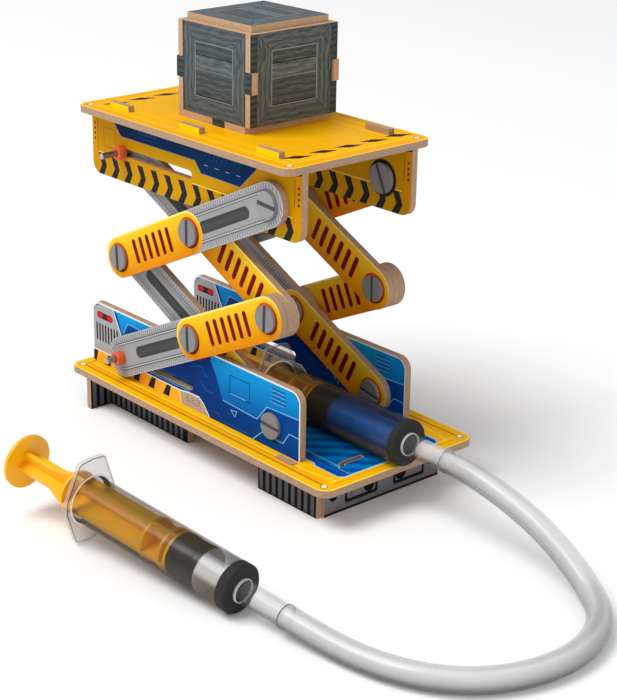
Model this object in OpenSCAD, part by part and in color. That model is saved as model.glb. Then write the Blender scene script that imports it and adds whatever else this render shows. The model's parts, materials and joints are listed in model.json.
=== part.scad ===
// Two-stage scissor lift kit of printed boards, worked by a pair of water-filled syringes.
// X runs along the base towards the tube, Y across it towards the far side, and Z up from the floor.

/* [Boards] */
// Thickness of every board
board = 2.7; // [2.5:0.05:2.75]
// Distance from one board layer to the next
layer_pitch = 2.9; // [2.85:0.05:3]
// Distance from the middle of the lift to the outermost face of the arms
stack_face = 30.9; // [30:0.1:32]

/* [Base] */
// Length of the base plate
base_l = 160; // [150:1:170]
// Width of the base plate
base_w = 77; // [74:1:84]
// Height of the foot boards
foot_h = 13.5; // [12:0.5:16]
// Length of the two upright side boards
side_l = 131.8; // [128:0.1:134]
// Height of the two upright side boards above the base plate
side_h = 27.2; // [25:0.1:28]
// Where the side boards end towards the tube
side_front_x = 55; // [53:0.5:57]
// Corner radius of the base plate and of the side boards
corner_r = 5; // [3:0.5:6]

/* [Scissor arms] */
// Distance between the end pivots of an arm
arm_pitch = 101; // [99:0.5:103]
// Half of the arm's width
arm_r = 8.4; // [8:0.1:8.6]
// Slope of the arms when the lift is down, in degrees
rest_slope = 25.2; // [24:0.2:27]
// Where the fixed pivots are along the base
pivot_x = 39; // [38:0.5:40]
// Height of the lowest pivots above the base plate
pivot_h = 9.4; // [9.2:0.1:9.8]

/* [Deck] */
// Length of the deck
deck_l = 128.4; // [126:0.2:130]
// Width of the deck
deck_w = 71; // [68:1:76]
// Where the middle of the deck is along the base
deck_x = -9.6; // [-11:0.2:-9]
// Height of the rails under the deck
rail_h = 26; // [25.5:0.1:26.5]
// Height of the deck's pivots above the lower edge of the rails
rail_pivot_h = 12.1; // [11.6:0.1:12.6]

/* [Pins and rods] */
// Radius of the pin shafts
pin_r = 2.5; // [2:0.1:3]
// Radius of the slotted pin heads
head_r = 5.1; // [5:0.1:6]
// Thickness of the slotted pin heads
head_t = 1.3; // [1:0.1:1.5]
// Radius of the steel slide rods
rod_r = 1.25; // [1:0.05:1.5]
// Length of the steel slide rods
rod_l = 77; // [74:1:80]
// Radius of the rubber stop rings on the rods
ring_r = 2.8; // [2.5:0.1:3.2]
// Length of the rubber stop rings
ring_l = 3.5; // [3:0.1:4]

/* [Syringes] */
// Length of a barrel from its finger flange to its closed end
barrel_l = 75; // [74:0.5:76]
// Outer radius of a barrel
barrel_r = 8.8; // [8.5:0.05:9]
// Wall of a barrel
barrel_wall = 0.7; // [0.6:0.05:0.8]
// Length of a nozzle in front of the barrel
nozzle_l = 19; // [18:0.5:20]
// Radius of the disc that the thumb presses
thumb_r = 10.2; // [9.5:0.1:11]
// How far the lift's plunger is drawn out
lift_gap = 35.1; // [34.9:0.1:35.6]
// How far the hand plunger is drawn out
hand_gap = 14.8; // [14:0.1:16]

/* [Crate] */
// Outer size of the crate
crate_w = 42.8; // [40:0.2:44]
// Height of the crate's walls and floor together
crate_h = 37.4; // [36:0.2:39]
// Where the middle of the crate is on the deck
crate_at = [-11.6, 6.4]; // [-20:0.2:10]

/* [Hidden] */
$fn = 64;

// Colours
paint_yellow = "#f2b418";
paint_blue = "#1459a8";
paint_grey = "#a9acb0";
paint_black = "#2b2c2e";
crate_grey = "#54605e";
pin_grey = "#8f9093";
steel = "#b9bcc0";
stop_orange = "#e8642a";
plunger_orange = "#f5a21c";
rubber_black = "#222222";
clear_plastic = "#dfe5e8";
bare_board = "#c9a183";

near = -1;
far = 1;
// The middle of the whole set's footprint, which is the model's origin
set_centre = [21.8, -40.76];

// Heights
base_top = foot_h + board;
pivot_z = base_top + pivot_h;
stage_rise = arm_pitch * sin(rest_slope);
arm_reach = arm_pitch * cos(rest_slope);
slide_x = pivot_x - arm_reach;
middle_x = pivot_x - arm_reach / 2;
joint_z = pivot_z + stage_rise;
deck_pivot_z = pivot_z + 2 * stage_rise;
rail_z = deck_pivot_z - rail_pivot_h;
deck_z = rail_z + rail_h;
deck_top = deck_z + board;

// Fits
pin_gap = 0.08;
open_gap = 0.25;
head_gap = 0.1;
slot_gap = 0.35;
tab_gap = 0.1;
slide_gap = 0.15;

// Slots that the rods slide in
slot_end_x = -8.6;
rod_slot_r = rod_r + slot_gap;
head_slot_w = 1.7;
head_slot_d = 0.6;
deck_head_r = 5.9;

// Notch in the top edge of each side board, clear of the spacer at the lower arms' centre
spacer_notch_r = arm_r + 0.6;

// Tabs of the side boards in the base plate and of the rails in the deck: middle and length of each
side_tabs = [[-60, 14], [-15, 14], [28, 14]];
rail_tabs = [[-54.5, 12.4], [-10, 12.4], [35.2, 12.6]];
// How far the rails' tabs stand above the deck, and the front foot's tab above the base
tab_proud = 2.3;
foot_tab_proud = 0.4;

// Feet
back_foot_x = -65.3;
back_foot_end_w = 76;
back_side_y = 27.8;
back_side_end = -12.5;
front_foot_x = 70.1;
front_side_x = 36;
front_side_y = 32;
front_far_y = 29.2;
foot_lap = 1.4;
foot_tab = [50.4, 9.4];

// Slots beside the barrel's nose for a tie
tie_slot_w = 1.6;
tie_slot_l = 9;
tie_slot_at = [65, 6.3];
tie_bend_r = 2.4;

// Syringe parts
barrel_bore = barrel_r - barrel_wall;
flange_t = 2;
flange_half = [11.2, 16.5];
flange_tip = 5.9;
end_t = 2.5;
end_bevel = 0.8;
nozzle_r = 4.15;
nozzle_tip_r = 3.5;
nozzle_bore = 1.6;
stopper_l = 13.2;
stopper_r = 8;
stopper_neck = 7.7;
rib_t = 1.6;
rib_r = 7.9;
// Turn of the ribs about the shaft
rib_roll = 17;
neck_r = 4.6;
web_t = 1.1;
web_places = [17.3, 25.8, 66];
flare_from = 66;
flare_to = 76;
thumb_t = 1.6;
thumb_face = 94;
eye_r = 4.4;
eye_w = 6;
eye_slip = 2.8;

// Where the syringes are
lift_nose_x = 82.8;
lift_eye = lift_nose_x - slide_x - lift_gap;
hand_tilt = atan((flange_half[1] - barrel_r) / (barrel_l - flange_t));
hand_heading = 7.2;
hand_clear = 0.05;
hand_nose = [104.3, -96, barrel_r * cos(hand_tilt) + hand_clear];

// Crate boards
crate_floor_z = deck_top;
crate_wall_z = deck_top + board;
crate_top = deck_top + crate_h;
crate_tab_h = 8;
crate_tab_z = deck_top + 19.3;
crate_tab_proud = 1.1;
crate_foot_tab = [-12.3, 7.3];
crate_lid_lap = 0.4;

// Tube
tube_d = 8.7;
tube_sides = 12;
tube_route = [
    [101.8, 0, 25.6], [107.5, 0, 25.6], [115, 0, 24.9], [125, 0, 23.1], [135, 0, 20.7], [145.5, -0.2, 17.4],
    [155.5, -0.8, 13.2],
    [164.5, -2, 8.9], [172.5, -4.6, 5.7], [179.5, -9, 4.5], [185.2, -15.2, 4.4], [189.6, -22.8, 4.4],
    [192.6, -31.6, 4.4], [193.8, -41, 4.4], [193, -51, 4.4], [190.4, -60.4, 4.4], [186, -69, 4.4],
    [179.6, -76.6, 4.4], [171.2, -82.8, 4.4], [161, -87.2, 4.4], [149.4, -90, 4.5], [136.8, -91.85, 5.3],
    [123.04, -93.64, 6.83]
];

// Outer face of a layer of boards, counted from the outside in
function layer_face(n) = stack_face - n * layer_pitch;

module placed() {
    translate([-set_centre[0], -set_centre[1], 0]) children();
}

// A board in the XZ plane, its outer face in layer n of one side
module on_layer(side, n, thick = board) {
    translate([0, side > 0 ? layer_face(n) : thick - layer_face(n), 0])
        rotate([90, 0, 0])
            linear_extrude(thick) children();
}

// A cylinder along Y between two distances from the middle
module across(side, from_y, to_y, r) {
    translate([0, min(side * from_y, side * to_y), 0])
        rotate([-90, 0, 0])
            cylinder(h = abs(to_y - from_y), r = r);
}

module rounded_rect(size, r) {
    square([size[0] - 2 * r, size[1]], center = true);
    square([size[0], size[1] - 2 * r], center = true);
    for (x = [-1, 1], y = [-1, 1])
        translate([x * (size[0] / 2 - r), y * (size[1] / 2 - r)]) circle(r);
}

module slot_2d(from_x, to_x, r) {
    translate([from_x, -r]) square([to_x - from_x, 2 * r]);
    translate([from_x, 0]) circle(r);
    translate([to_x, 0]) circle(r);
}

// Base

module tie_slot_2d() {
    translate([tie_slot_at[0] - tie_slot_w / 2, tie_slot_at[1]]) square([tie_slot_w, tie_slot_l]);
    translate([tie_slot_at[0] + tie_bend_r, tie_slot_at[1] + tie_slot_l])
        intersection() {
            difference() {
                circle(tie_bend_r + tie_slot_w / 2);
                circle(tie_bend_r - tie_slot_w / 2);
            }
            translate([-2 * tie_bend_r, 0]) square(2 * tie_bend_r);
        }
}

module base_plate() {
    flange_x = lift_nose_x - barrel_l + flange_t / 2;
    color(paint_yellow) placed()
        translate([0, 0, foot_h]) linear_extrude(board)
            difference() {
                rounded_rect([base_l, base_w], corner_r);
                for (side = [near, far], tab = side_tabs)
                    translate([tab[0], side * (layer_face(1) - board / 2)])
                        square([tab[1] + 2 * tab_gap, board + 2 * tab_gap], center = true);
                translate([foot_tab[0], board / 2 - front_side_y])
                    square([foot_tab[1] + 2 * tab_gap, board + 2 * tab_gap], center = true);
                translate([flange_x, 0]) square([flange_t + 2 * tab_gap, 19], center = true);
                tie_slot_2d();
                mirror([0, 1]) tie_slot_2d();
            }
}

module base_side(side) {
    back_x = side_front_x - side_l;
    color(paint_blue) placed()
        on_layer(side, 1) difference() {
            union() {
                translate([back_x, base_top]) square([side_l, side_h - corner_r]);
                translate([back_x + corner_r, base_top]) square([side_l - 2 * corner_r, side_h]);
                for (x = [back_x + corner_r, side_front_x - corner_r])
                    translate([x, base_top + side_h - corner_r]) circle(corner_r);
                for (tab = side_tabs)
                    translate([tab[0] - tab[1] / 2, foot_h]) square([tab[1], board + 0.01]);
            }
            translate([0, pivot_z]) slot_2d(slide_x - slot_gap, slot_end_x - rod_slot_r, rod_slot_r);
            translate([pivot_x, pivot_z]) circle(pin_r + pin_gap);
            translate([middle_x, pivot_z + stage_rise / 2]) circle(spacer_notch_r);
        }
}

module base_side_near() { base_side(near); }
module base_side_far() { base_side(far); }

module back_foot_end() {
    color(paint_black) placed()
        translate([back_foot_x - board, -back_foot_end_w / 2, 0]) cube([board, back_foot_end_w, foot_h]);
}

module back_foot_side(side) {
    color(paint_black) placed()
        translate([back_foot_x, side > 0 ? back_side_y - board : -back_side_y, 0])
            cube([back_side_end - back_foot_x, board, foot_h]);
}

module back_foot_side_near() { back_foot_side(near); }
module back_foot_side_far() { back_foot_side(far); }

module front_foot_end() {
    near_y = -front_side_y + board;
    color(paint_black) placed()
        translate([front_foot_x - board, near_y, 0]) cube([board, front_far_y - near_y, foot_h]);
}

module front_foot_side_near() {
    end_x = front_foot_x - board + foot_lap;
    color(paint_black) placed() translate([0, -front_side_y, 0]) {
        translate([front_side_x, 0, 0]) cube([end_x - front_side_x, board, foot_h]);
        translate([foot_tab[0] - foot_tab[1] / 2, 0, 0]) cube([foot_tab[1], board, base_top + foot_tab_proud]);
    }
}

module front_foot_side_far() {
    end_x = front_foot_x - board;
    color(paint_black) placed()
        translate([front_side_x, front_far_y - board, 0]) cube([end_x - front_side_x, board, foot_h]);
}

// Arms

// An arm from its lower pivot, with its three holes
module arm_2d(low_hole, middle_hole, high_hole) {
    difference() {
        union() {
            translate([0, -arm_r]) square([arm_pitch, 2 * arm_r]);
            circle(arm_r);
            translate([arm_pitch, 0]) circle(arm_r);
        }
        circle(low_hole);
        translate([arm_pitch / 2, 0]) circle(middle_hole);
        translate([arm_pitch, 0]) circle(high_hole);
    }
}

// An outer arm rises towards the tube end
module outer_arm(side, low_z, low_hole, high_hole) {
    color(paint_yellow) placed()
        on_layer(side, 0) translate([slide_x, low_z]) rotate(rest_slope)
            arm_2d(low_hole, pin_r + pin_gap, high_hole);
}

// An inner arm rises towards the back
module inner_arm(side, low_z, low_hole, high_hole) {
    color(paint_grey) placed()
        on_layer(side, 2) translate([pivot_x, low_z]) rotate(180 - rest_slope)
            arm_2d(low_hole, pin_r + pin_gap, high_hole);
}

module lower_inner_arm_near() { inner_arm(near, pivot_z, pin_r + pin_gap, pin_r + pin_gap); }
module lower_inner_arm_far() { inner_arm(far, pivot_z, pin_r + pin_gap, pin_r + pin_gap); }
module lower_outer_arm_near() { outer_arm(near, pivot_z, rod_r + pin_gap, pin_r + pin_gap); }
module lower_outer_arm_far() { outer_arm(far, pivot_z, rod_r + pin_gap, pin_r + pin_gap); }
module upper_outer_arm_near() { outer_arm(near, joint_z, pin_r + pin_gap, pin_r + pin_gap); }
module upper_outer_arm_far() { outer_arm(far, joint_z, pin_r + pin_gap, pin_r + pin_gap); }
module upper_inner_arm_near() { inner_arm(near, joint_z, pin_r + open_gap, rod_r + pin_gap); }
module upper_inner_arm_far() { inner_arm(far, joint_z, pin_r + open_gap, rod_r + pin_gap); }

// Pins, caps and spacers

// A slotted head that stands on a face: outwards is 1 away from the middle of the lift, -1 towards it
module slotted_head(side, face, outwards, r, slot_angle) {
    top = face + outwards * head_t;
    difference() {
        across(side, face, top, r);
        translate([0, side * top, 0]) rotate([0, slot_angle, 0])
            cube([2 * r + 1, 2 * head_slot_d, head_slot_w], center = true);
    }
}

// Pins of both sides at a joint, through the layers from first to last
module joint_pins(x, z, first, last, slot_angle) {
    color(pin_grey) placed() translate([x, 0, z])
        for (side = [near, far]) {
            face = layer_face(first) + head_gap;
            slotted_head(side, face, 1, head_r, slot_angle);
            across(side, layer_face(last) - board - head_gap, face, pin_r);
        }
}

module joint_caps(x, z, last, r, slot_angle) {
    color(pin_grey) placed() translate([x, 0, z])
        for (side = [near, far])
            slotted_head(side, layer_face(last) - board - head_gap, -1, r, slot_angle);
}

module joint_spacers(x, z) {
    color(bare_board) placed()
        for (side = [near, far])
            on_layer(side, 1) translate([x, z]) difference() {
                circle(arm_r);
                circle(pin_r + pin_gap);
            }
}

module base_pivot_pins() { joint_pins(pivot_x, pivot_z, 1, 2, 4); }
module base_pivot_caps() { joint_caps(pivot_x, pivot_z, 2, head_r, 10); }
module lower_centre_pins() { joint_pins(middle_x, pivot_z + stage_rise / 2, 0, 2, 88); }
module lower_centre_caps() { joint_caps(middle_x, pivot_z + stage_rise / 2, 2, head_r, 40); }
module lower_centre_spacers() { joint_spacers(middle_x, pivot_z + stage_rise / 2); }
module left_joint_pins() { joint_pins(slide_x, joint_z, 0, 2, 86); }
module left_joint_caps() { joint_caps(slide_x, joint_z, 2, head_r, 30); }
module left_joint_spacers() { joint_spacers(slide_x, joint_z); }
module right_joint_pins() { joint_pins(pivot_x, joint_z, 0, 2, 92); }
module right_joint_caps() { joint_caps(pivot_x, joint_z, 2, head_r, 88); }
module right_joint_spacers() { joint_spacers(pivot_x, joint_z); }
module upper_centre_pins() { joint_pins(middle_x, joint_z + stage_rise / 2, 0, 2, 90); }
module upper_centre_caps() { joint_caps(middle_x, joint_z + stage_rise / 2, 2, head_r, 50); }
module upper_centre_spacers() { joint_spacers(middle_x, joint_z + stage_rise / 2); }
module deck_pivot_pins() { joint_pins(pivot_x, deck_pivot_z, 0, 1, 4); }
module deck_pivot_caps() { joint_caps(pivot_x, deck_pivot_z, 1, deck_head_r, 65); }

// Rods and their stops

module slide_rod(z) {
    color(steel) placed() translate([slide_x, 0, z]) across(far, -rod_l / 2, rod_l / 2, rod_r);
}

// A ring on each end of a rod, its inner end at one distance from the middle
module rod_rings(z, from_y) {
    color(stop_orange) placed() translate([slide_x, 0, z])
        for (side = [near, far])
            difference() {
                across(side, from_y, from_y + ring_l, ring_r);
                across(side, from_y - 1, from_y + ring_l + 1, rod_r);
            }
}

module lower_slide_rod() { slide_rod(pivot_z); }
module lower_rod_stops() { rod_rings(pivot_z, stack_face); }
module lower_rod_rings() { rod_rings(pivot_z, layer_face(1) - board - ring_l - head_gap); }
module upper_slide_rod() { slide_rod(deck_pivot_z); }
module upper_rod_stops() { rod_rings(deck_pivot_z, layer_face(1) + head_gap); }
module upper_rod_rings() { rod_rings(deck_pivot_z, layer_face(2) - board - ring_l); }

// Deck

module deck_plate() {
    color(paint_yellow) placed()
        translate([0, 0, deck_z]) linear_extrude(board)
            difference() {
                translate([deck_x, 0]) rounded_rect([deck_l, deck_w], corner_r);
                for (side = [near, far], tab = rail_tabs)
                    translate([tab[0], side * (layer_face(1) - board / 2)])
                        square([tab[1] + 2 * tab_gap, board + 2 * tab_gap], center = true);
            }
}

// The far rail's middle tab is flush, because the crate stands over it
module deck_rail(side) {
    rail_l = deck_l - 1;
    back_x = deck_x - rail_l / 2;
    flush_tab = side > 0 ? 1 : -1;
    color(paint_yellow) placed()
        on_layer(side, 1) difference() {
            union() {
                translate([back_x, rail_z + corner_r]) square([rail_l, rail_h - corner_r]);
                translate([back_x + corner_r, rail_z]) square([rail_l - 2 * corner_r, rail_h]);
                for (x = [back_x + corner_r, back_x + rail_l - corner_r])
                    translate([x, rail_z + corner_r]) circle(corner_r);
                for (i = [0 : len(rail_tabs) - 1])
                    translate([rail_tabs[i][0] - rail_tabs[i][1] / 2, deck_z - 0.01])
                        square([rail_tabs[i][1], board + 0.01 + (i == flush_tab ? 0 : tab_proud)]);
            }
            translate([0, deck_pivot_z]) slot_2d(slide_x - slot_gap, slot_end_x - rod_slot_r, rod_slot_r);
            translate([pivot_x, deck_pivot_z]) circle(pin_r + pin_gap);
        }
}

module deck_rail_near() { deck_rail(near); }
module deck_rail_far() { deck_rail(far); }

// Crate: the near and far walls stand between the front and back walls and lock into them with tabs

module crate_placed() {
    placed() translate([crate_at[0], crate_at[1], 0]) children();
}

module crate_floor() {
    color(crate_grey) crate_placed()
        difference() {
            translate([-crate_w / 2, -crate_w / 2, crate_floor_z])
                cube([crate_w - board, crate_w - board, board]);
            translate([crate_foot_tab[0] - crate_at[0] - tab_gap, -crate_w / 2 - 1, crate_floor_z - 1])
                cube([crate_foot_tab[1] + 2 * tab_gap, board + 1, board + 2]);
        }
}

module crate_lid() {
    lid_w = crate_w - 2 * board + crate_lid_lap;
    color(crate_grey) crate_placed()
        translate([-lid_w / 2, -lid_w / 2, crate_top]) cube([lid_w, lid_w, board]);
}

module crate_wall_near() {
    inner_w = crate_w - 2 * board;
    tab_w = crate_w + 2 * crate_tab_proud;
    color(crate_grey) crate_placed() translate([0, -crate_w / 2, 0]) {
        translate([-inner_w / 2, 0, crate_wall_z]) cube([inner_w, board, crate_top - crate_wall_z]);
        translate([-tab_w / 2, 0, crate_tab_z - crate_tab_h / 2]) cube([tab_w, board, crate_tab_h]);
        translate([crate_foot_tab[0] - crate_at[0], 0, crate_floor_z]) cube([crate_foot_tab[1], board, board + 1]);
    }
}

module crate_wall_far() {
    inner_w = crate_w - 2 * board;
    tab_w = crate_w + 2 * crate_tab_proud;
    color(crate_grey) crate_placed() translate([0, crate_w / 2 - board, 0]) {
        translate([-inner_w / 2, 0, crate_floor_z]) cube([inner_w, board, crate_h]);
        translate([-tab_w / 2, 0, crate_tab_z - crate_tab_h / 2]) cube([tab_w, board, crate_tab_h]);
    }
}

// A wall across the crate, notched at both edges for the tabs
module crate_cross_wall(x) {
    color(crate_grey) crate_placed()
        difference() {
            translate([x, -crate_w / 2, crate_wall_z]) cube([board, crate_w, crate_top - crate_wall_z]);
            for (side = [-1, 1])
                translate([x + board / 2, side * (crate_w / 2 - board / 2), crate_tab_z])
                    cube([board + 2, board + 0.02, crate_tab_h + 2 * tab_gap], center = true);
        }
}

module crate_wall_front() { crate_cross_wall(crate_w / 2 - board); }
module crate_wall_back() { crate_cross_wall(-crate_w / 2); }

// Syringes: each runs along X with its nose at the origin and the nozzle in front

// A solid turned about X from points of [distance along X, radius]
module turned(points) {
    rotate([0, 90, 0]) rotate_extrude() polygon([for (p = points) [p[1], p[0]]]);
}

module lift_placed() {
    placed() translate([lift_nose_x, 0, pivot_z]) children();
}

module hand_placed() {
    placed() translate(hand_nose) rotate([0, hand_tilt, hand_heading]) children();
}

module barrel() {
    flange = flange_half;
    turned([[-barrel_l, barrel_bore], [-barrel_l, barrel_r], [-end_t, barrel_r], [-end_t, barrel_bore]]);
    translate([-barrel_l, 0, 0]) rotate([90, 0, 90]) linear_extrude(flange_t)
        difference() {
            polygon([
                [-flange_tip, flange[1] - 0.7], [0, flange[1]], [flange_tip, flange[1] - 0.7],
                [flange[0], 2.5], [flange[0], -2.5],
                [flange_tip, 0.7 - flange[1]], [0, -flange[1]], [-flange_tip, 0.7 - flange[1]],
                [-flange[0], -2.5], [-flange[0], 2.5]
            ]);
            circle(barrel_bore);
        }
}

module barrel_end() {
    turned([
        [-end_t, nozzle_r], [-end_t, barrel_r], [-end_bevel, barrel_r], [0, barrel_r - end_bevel], [0, nozzle_r]
    ]);
}

module nozzle() {
    turned([
        [-end_t, nozzle_bore], [-end_t, nozzle_r], [0, nozzle_r], [nozzle_l, nozzle_tip_r], [nozzle_l, nozzle_bore]
    ]);
}

module stopper(gap) {
    translate([-gap, 0, 0]) turned([
        [-stopper_l, 0], [-stopper_l, stopper_r], [3 - stopper_l, stopper_r], [4 - stopper_l, stopper_neck],
        [-4, stopper_neck], [-3, stopper_r], [-0.6, stopper_r], [0, stopper_r - 0.8], [0, 0]
    ]);
}

// Cross-ribbed shaft behind the stopper, as long as from its front to shaft_end
module plunger_shaft(gap, shaft_end) {
    profile = [
        [-stopper_l, -rib_r], [-flare_from, -rib_r], [-flare_to, -neck_r], [-shaft_end, -neck_r],
        [-shaft_end, neck_r], [-flare_to, neck_r], [-flare_from, rib_r], [-stopper_l, rib_r]
    ];
    translate([-gap, 0, 0]) {
        for (turn = [0, 90])
            rotate([turn + rib_roll, 0, 0]) translate([0, 0, -rib_t / 2]) linear_extrude(rib_t) polygon(profile);
        for (place = concat([stopper_l + web_t], web_places))
            turned([[-place, 0], [-place, rib_r], [web_t - place, rib_r], [web_t - place, 0]]);
    }
}

module lift_barrel() { color(clear_plastic, 0.4) lift_placed() barrel(); }
module lift_barrel_end() { color(rubber_black) lift_placed() barrel_end(); }
module lift_nozzle() { color(clear_plastic, 0.6) lift_placed() nozzle(); }
module lift_stopper() { color(rubber_black) lift_placed() stopper(lift_gap); }

// The lift's plunger ends in an eye round the lower slide rod
module lift_plunger() {
    eye_x = -lift_gap - lift_eye;
    color(plunger_orange) lift_placed()
        difference() {
            union() {
                plunger_shaft(lift_gap, lift_eye - eye_slip);
                translate([eye_x, eye_w / 2, 0]) rotate([90, 0, 0]) linear_extrude(eye_w)
                    slot_2d(-eye_slip, 0, eye_r);
            }
            translate([eye_x, eye_w, 0]) rotate([90, 0, 0]) linear_extrude(2 * eye_w)
                slot_2d(-eye_slip, 0, rod_r + slide_gap);
        }
}

module hand_barrel() { color(clear_plastic, 0.4) hand_placed() barrel(); }
module hand_barrel_end() { color(rubber_black) hand_placed() barrel_end(); }
module hand_nozzle() { color(clear_plastic, 0.6) hand_placed() nozzle(); }
module hand_stopper() { color(rubber_black) hand_placed() stopper(hand_gap); }

module hand_plunger() {
    color(plunger_orange) hand_placed() {
        plunger_shaft(hand_gap, thumb_face - thumb_t);
        translate([-hand_gap, 0, 0])
            turned([
                [-thumb_face, 0], [-thumb_face, thumb_r - 0.4], [0.4 - thumb_face, thumb_r],
                [thumb_t - thumb_face, thumb_r], [thumb_t - thumb_face, 0]
            ]);
    }
}

// Tube: a ring of points round each point of the route

function unit(v) = v / norm(v);
function route_way(i) = unit(tube_route[min(i + 1, len(tube_route) - 1)] - tube_route[max(i - 1, 0)]);
function ring_side(i) = unit(cross(route_way(i), [0, 0, 1]));
function ring_point(i, a) = tube_route[i]
    + tube_d / 2 * (cos(a) * ring_side(i) + sin(a) * cross(ring_side(i), route_way(i)));

module tube() {
    rings = len(tube_route);
    sides = tube_sides;
    points = [for (i = [0 : rings - 1], j = [0 : sides - 1]) ring_point(i, j * 360 / sides)];
    walls = [
        for (i = [0 : rings - 2], j = [0 : sides - 1])
            [i * sides + j, i * sides + (j + 1) % sides, (i + 1) * sides + (j + 1) % sides, (i + 1) * sides + j]
    ];
    first = [for (j = [sides - 1 : -1 : 0]) j];
    last = [for (j = [0 : sides - 1]) (rings - 1) * sides + j];
    color(clear_plastic, 0.6) placed() polyhedron(points, concat([first], walls, [last]));
}

base_plate();
base_side_near();
base_side_far();
back_foot_end();
back_foot_side_near();
back_foot_side_far();
front_foot_end();
front_foot_side_near();
front_foot_side_far();
lower_inner_arm_near();
lower_inner_arm_far();
lower_outer_arm_near();
lower_outer_arm_far();
upper_outer_arm_near();
upper_outer_arm_far();
upper_inner_arm_near();
upper_inner_arm_far();
base_pivot_pins();
base_pivot_caps();
lower_centre_pins();
lower_centre_caps();
lower_centre_spacers();
left_joint_pins();
left_joint_caps();
left_joint_spacers();
right_joint_pins();
right_joint_caps();
right_joint_spacers();
upper_centre_pins();
upper_centre_caps();
upper_centre_spacers();
deck_pivot_pins();
deck_pivot_caps();
lower_slide_rod();
lower_rod_stops();
lower_rod_rings();
upper_slide_rod();
upper_rod_stops();
upper_rod_rings();
deck_plate();
deck_rail_near();
deck_rail_far();
crate_floor();
crate_lid();
crate_wall_near();
crate_wall_far();
crate_wall_front();
crate_wall_back();
lift_barrel();
lift_barrel_end();
lift_nozzle();
lift_plunger();
lift_stopper();
hand_barrel();
hand_barrel_end();
hand_nozzle();
hand_plunger();
hand_stopper();
tube();
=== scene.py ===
import json
import math
import random

import bpy
from mathutils import Matrix, Vector
from mathutils.geometry import delaunay_2d_cdt


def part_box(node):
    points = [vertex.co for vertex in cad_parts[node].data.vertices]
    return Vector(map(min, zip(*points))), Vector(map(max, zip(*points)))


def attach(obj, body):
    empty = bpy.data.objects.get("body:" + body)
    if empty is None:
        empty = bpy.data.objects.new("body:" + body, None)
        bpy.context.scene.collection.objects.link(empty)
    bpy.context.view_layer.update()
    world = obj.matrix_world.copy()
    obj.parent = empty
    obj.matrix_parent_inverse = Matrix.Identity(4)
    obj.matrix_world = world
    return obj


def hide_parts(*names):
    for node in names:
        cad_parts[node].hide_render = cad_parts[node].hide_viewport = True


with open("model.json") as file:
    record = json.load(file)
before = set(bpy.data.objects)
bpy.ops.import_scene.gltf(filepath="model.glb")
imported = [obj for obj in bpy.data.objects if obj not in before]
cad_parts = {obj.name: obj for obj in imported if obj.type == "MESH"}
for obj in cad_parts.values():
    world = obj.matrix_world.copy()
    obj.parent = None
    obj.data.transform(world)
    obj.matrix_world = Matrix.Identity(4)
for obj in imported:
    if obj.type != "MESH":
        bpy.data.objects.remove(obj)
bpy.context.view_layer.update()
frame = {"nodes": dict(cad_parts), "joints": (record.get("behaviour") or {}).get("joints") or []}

# ---------------- Places
# Lengths are in millimetres. X runs along the base towards the tube, Y to the far side, Z up from the floor,
# and the origin is under the middle of the base plate.

MM = 0.001
plate_low, plate_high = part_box("base_plate")
MIDDLE = (plate_low + plate_high) / 2


def at(x, y, z):
    """A point in the frame, in metres."""
    return Vector((MIDDLE.x + x * MM, MIDDLE.y + y * MM, z * MM))


def box_mm(node):
    """A CAD node's box as (low x, low y, low z), (high x, high y, high z)."""
    low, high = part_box(node)
    shift = Vector((MIDDLE.x, MIDDLE.y, 0))
    return (low - shift) / MM, (high - shift) / MM


joints = {joint["name"]: joint for joint in frame["joints"]}


def pivot(name):
    """A pivot's (x, z)."""
    place = Vector(joints[name]["pos_m"])
    return Vector(((place.x - MIDDLE.x) / MM, place.z / MM))


LOW_PIVOT = pivot("lift_hinge")
LOW_CENTRE = pivot("lower_cross")
LEFT_JOINT = pivot("left_joint")
DECK_PIVOT = pivot("deck_hinge")
LOW_SLIDE = 2 * LOW_CENTRE - Vector((DECK_PIVOT.x, LEFT_JOINT.y))
RIGHT_JOINT = Vector((DECK_PIVOT.x, LEFT_JOINT.y))
PITCH = (RIGHT_JOINT - LOW_SLIDE).length
ARM_R = 8.4
HEAD_R = 5.1

BASE_L, BASE_W = 160, 77
DECK_L, DECK_W = 128.4, 71
CORNER_R = 5
FILM = 0.05
TINY = 1e-6
SIDES = ("near", -1), ("far", 1)

# ---------------- Camera

camera_data = bpy.data.cameras.new("camera")
camera = bpy.data.objects.new("camera", camera_data)
bpy.context.scene.collection.objects.link(camera)
camera.location = (0.461426, -0.367576, 0.28429)
camera.rotation_euler = (math.radians(70.002), 0, math.radians(51.022))
camera_data.lens = 88.22
camera_data.sensor_width = 36
camera_data.shift_x = 0.1148
camera_data.shift_y = -0.0580
bpy.context.scene.camera = camera

# ---------------- Meshes


def new_object(name, points, faces, paints, face_paints=None, smooth=False):
    """A mesh object from points in metres in the frame."""
    mesh = bpy.data.meshes.new(name)
    mesh.from_pydata([tuple(p) for p in points], [], faces)
    for paint in paints:
        mesh.materials.append(paint)
    if face_paints:
        mesh.polygons.foreach_set("material_index", face_paints)
    if smooth:
        mesh.polygons.foreach_set("use_smooth", [True] * len(faces))
    mesh.validate()
    piece = bpy.data.objects.new(name, mesh)
    bpy.context.scene.collection.objects.link(piece)
    return piece


def rings_object(name, rings, paint):
    """A smooth skin through rings of points, with the last ring joined to the first."""
    count = len(rings[0])
    faces = []
    for i in range(len(rings)):
        here, there = i * count, (i + 1) % len(rings) * count
        for j in range(count):
            k = (j + 1) % count
            faces.append((here + j, here + k, there + k, there + j))
    return new_object(name, [p for ring in rings for p in ring], faces, [paint], smooth=True)


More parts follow.
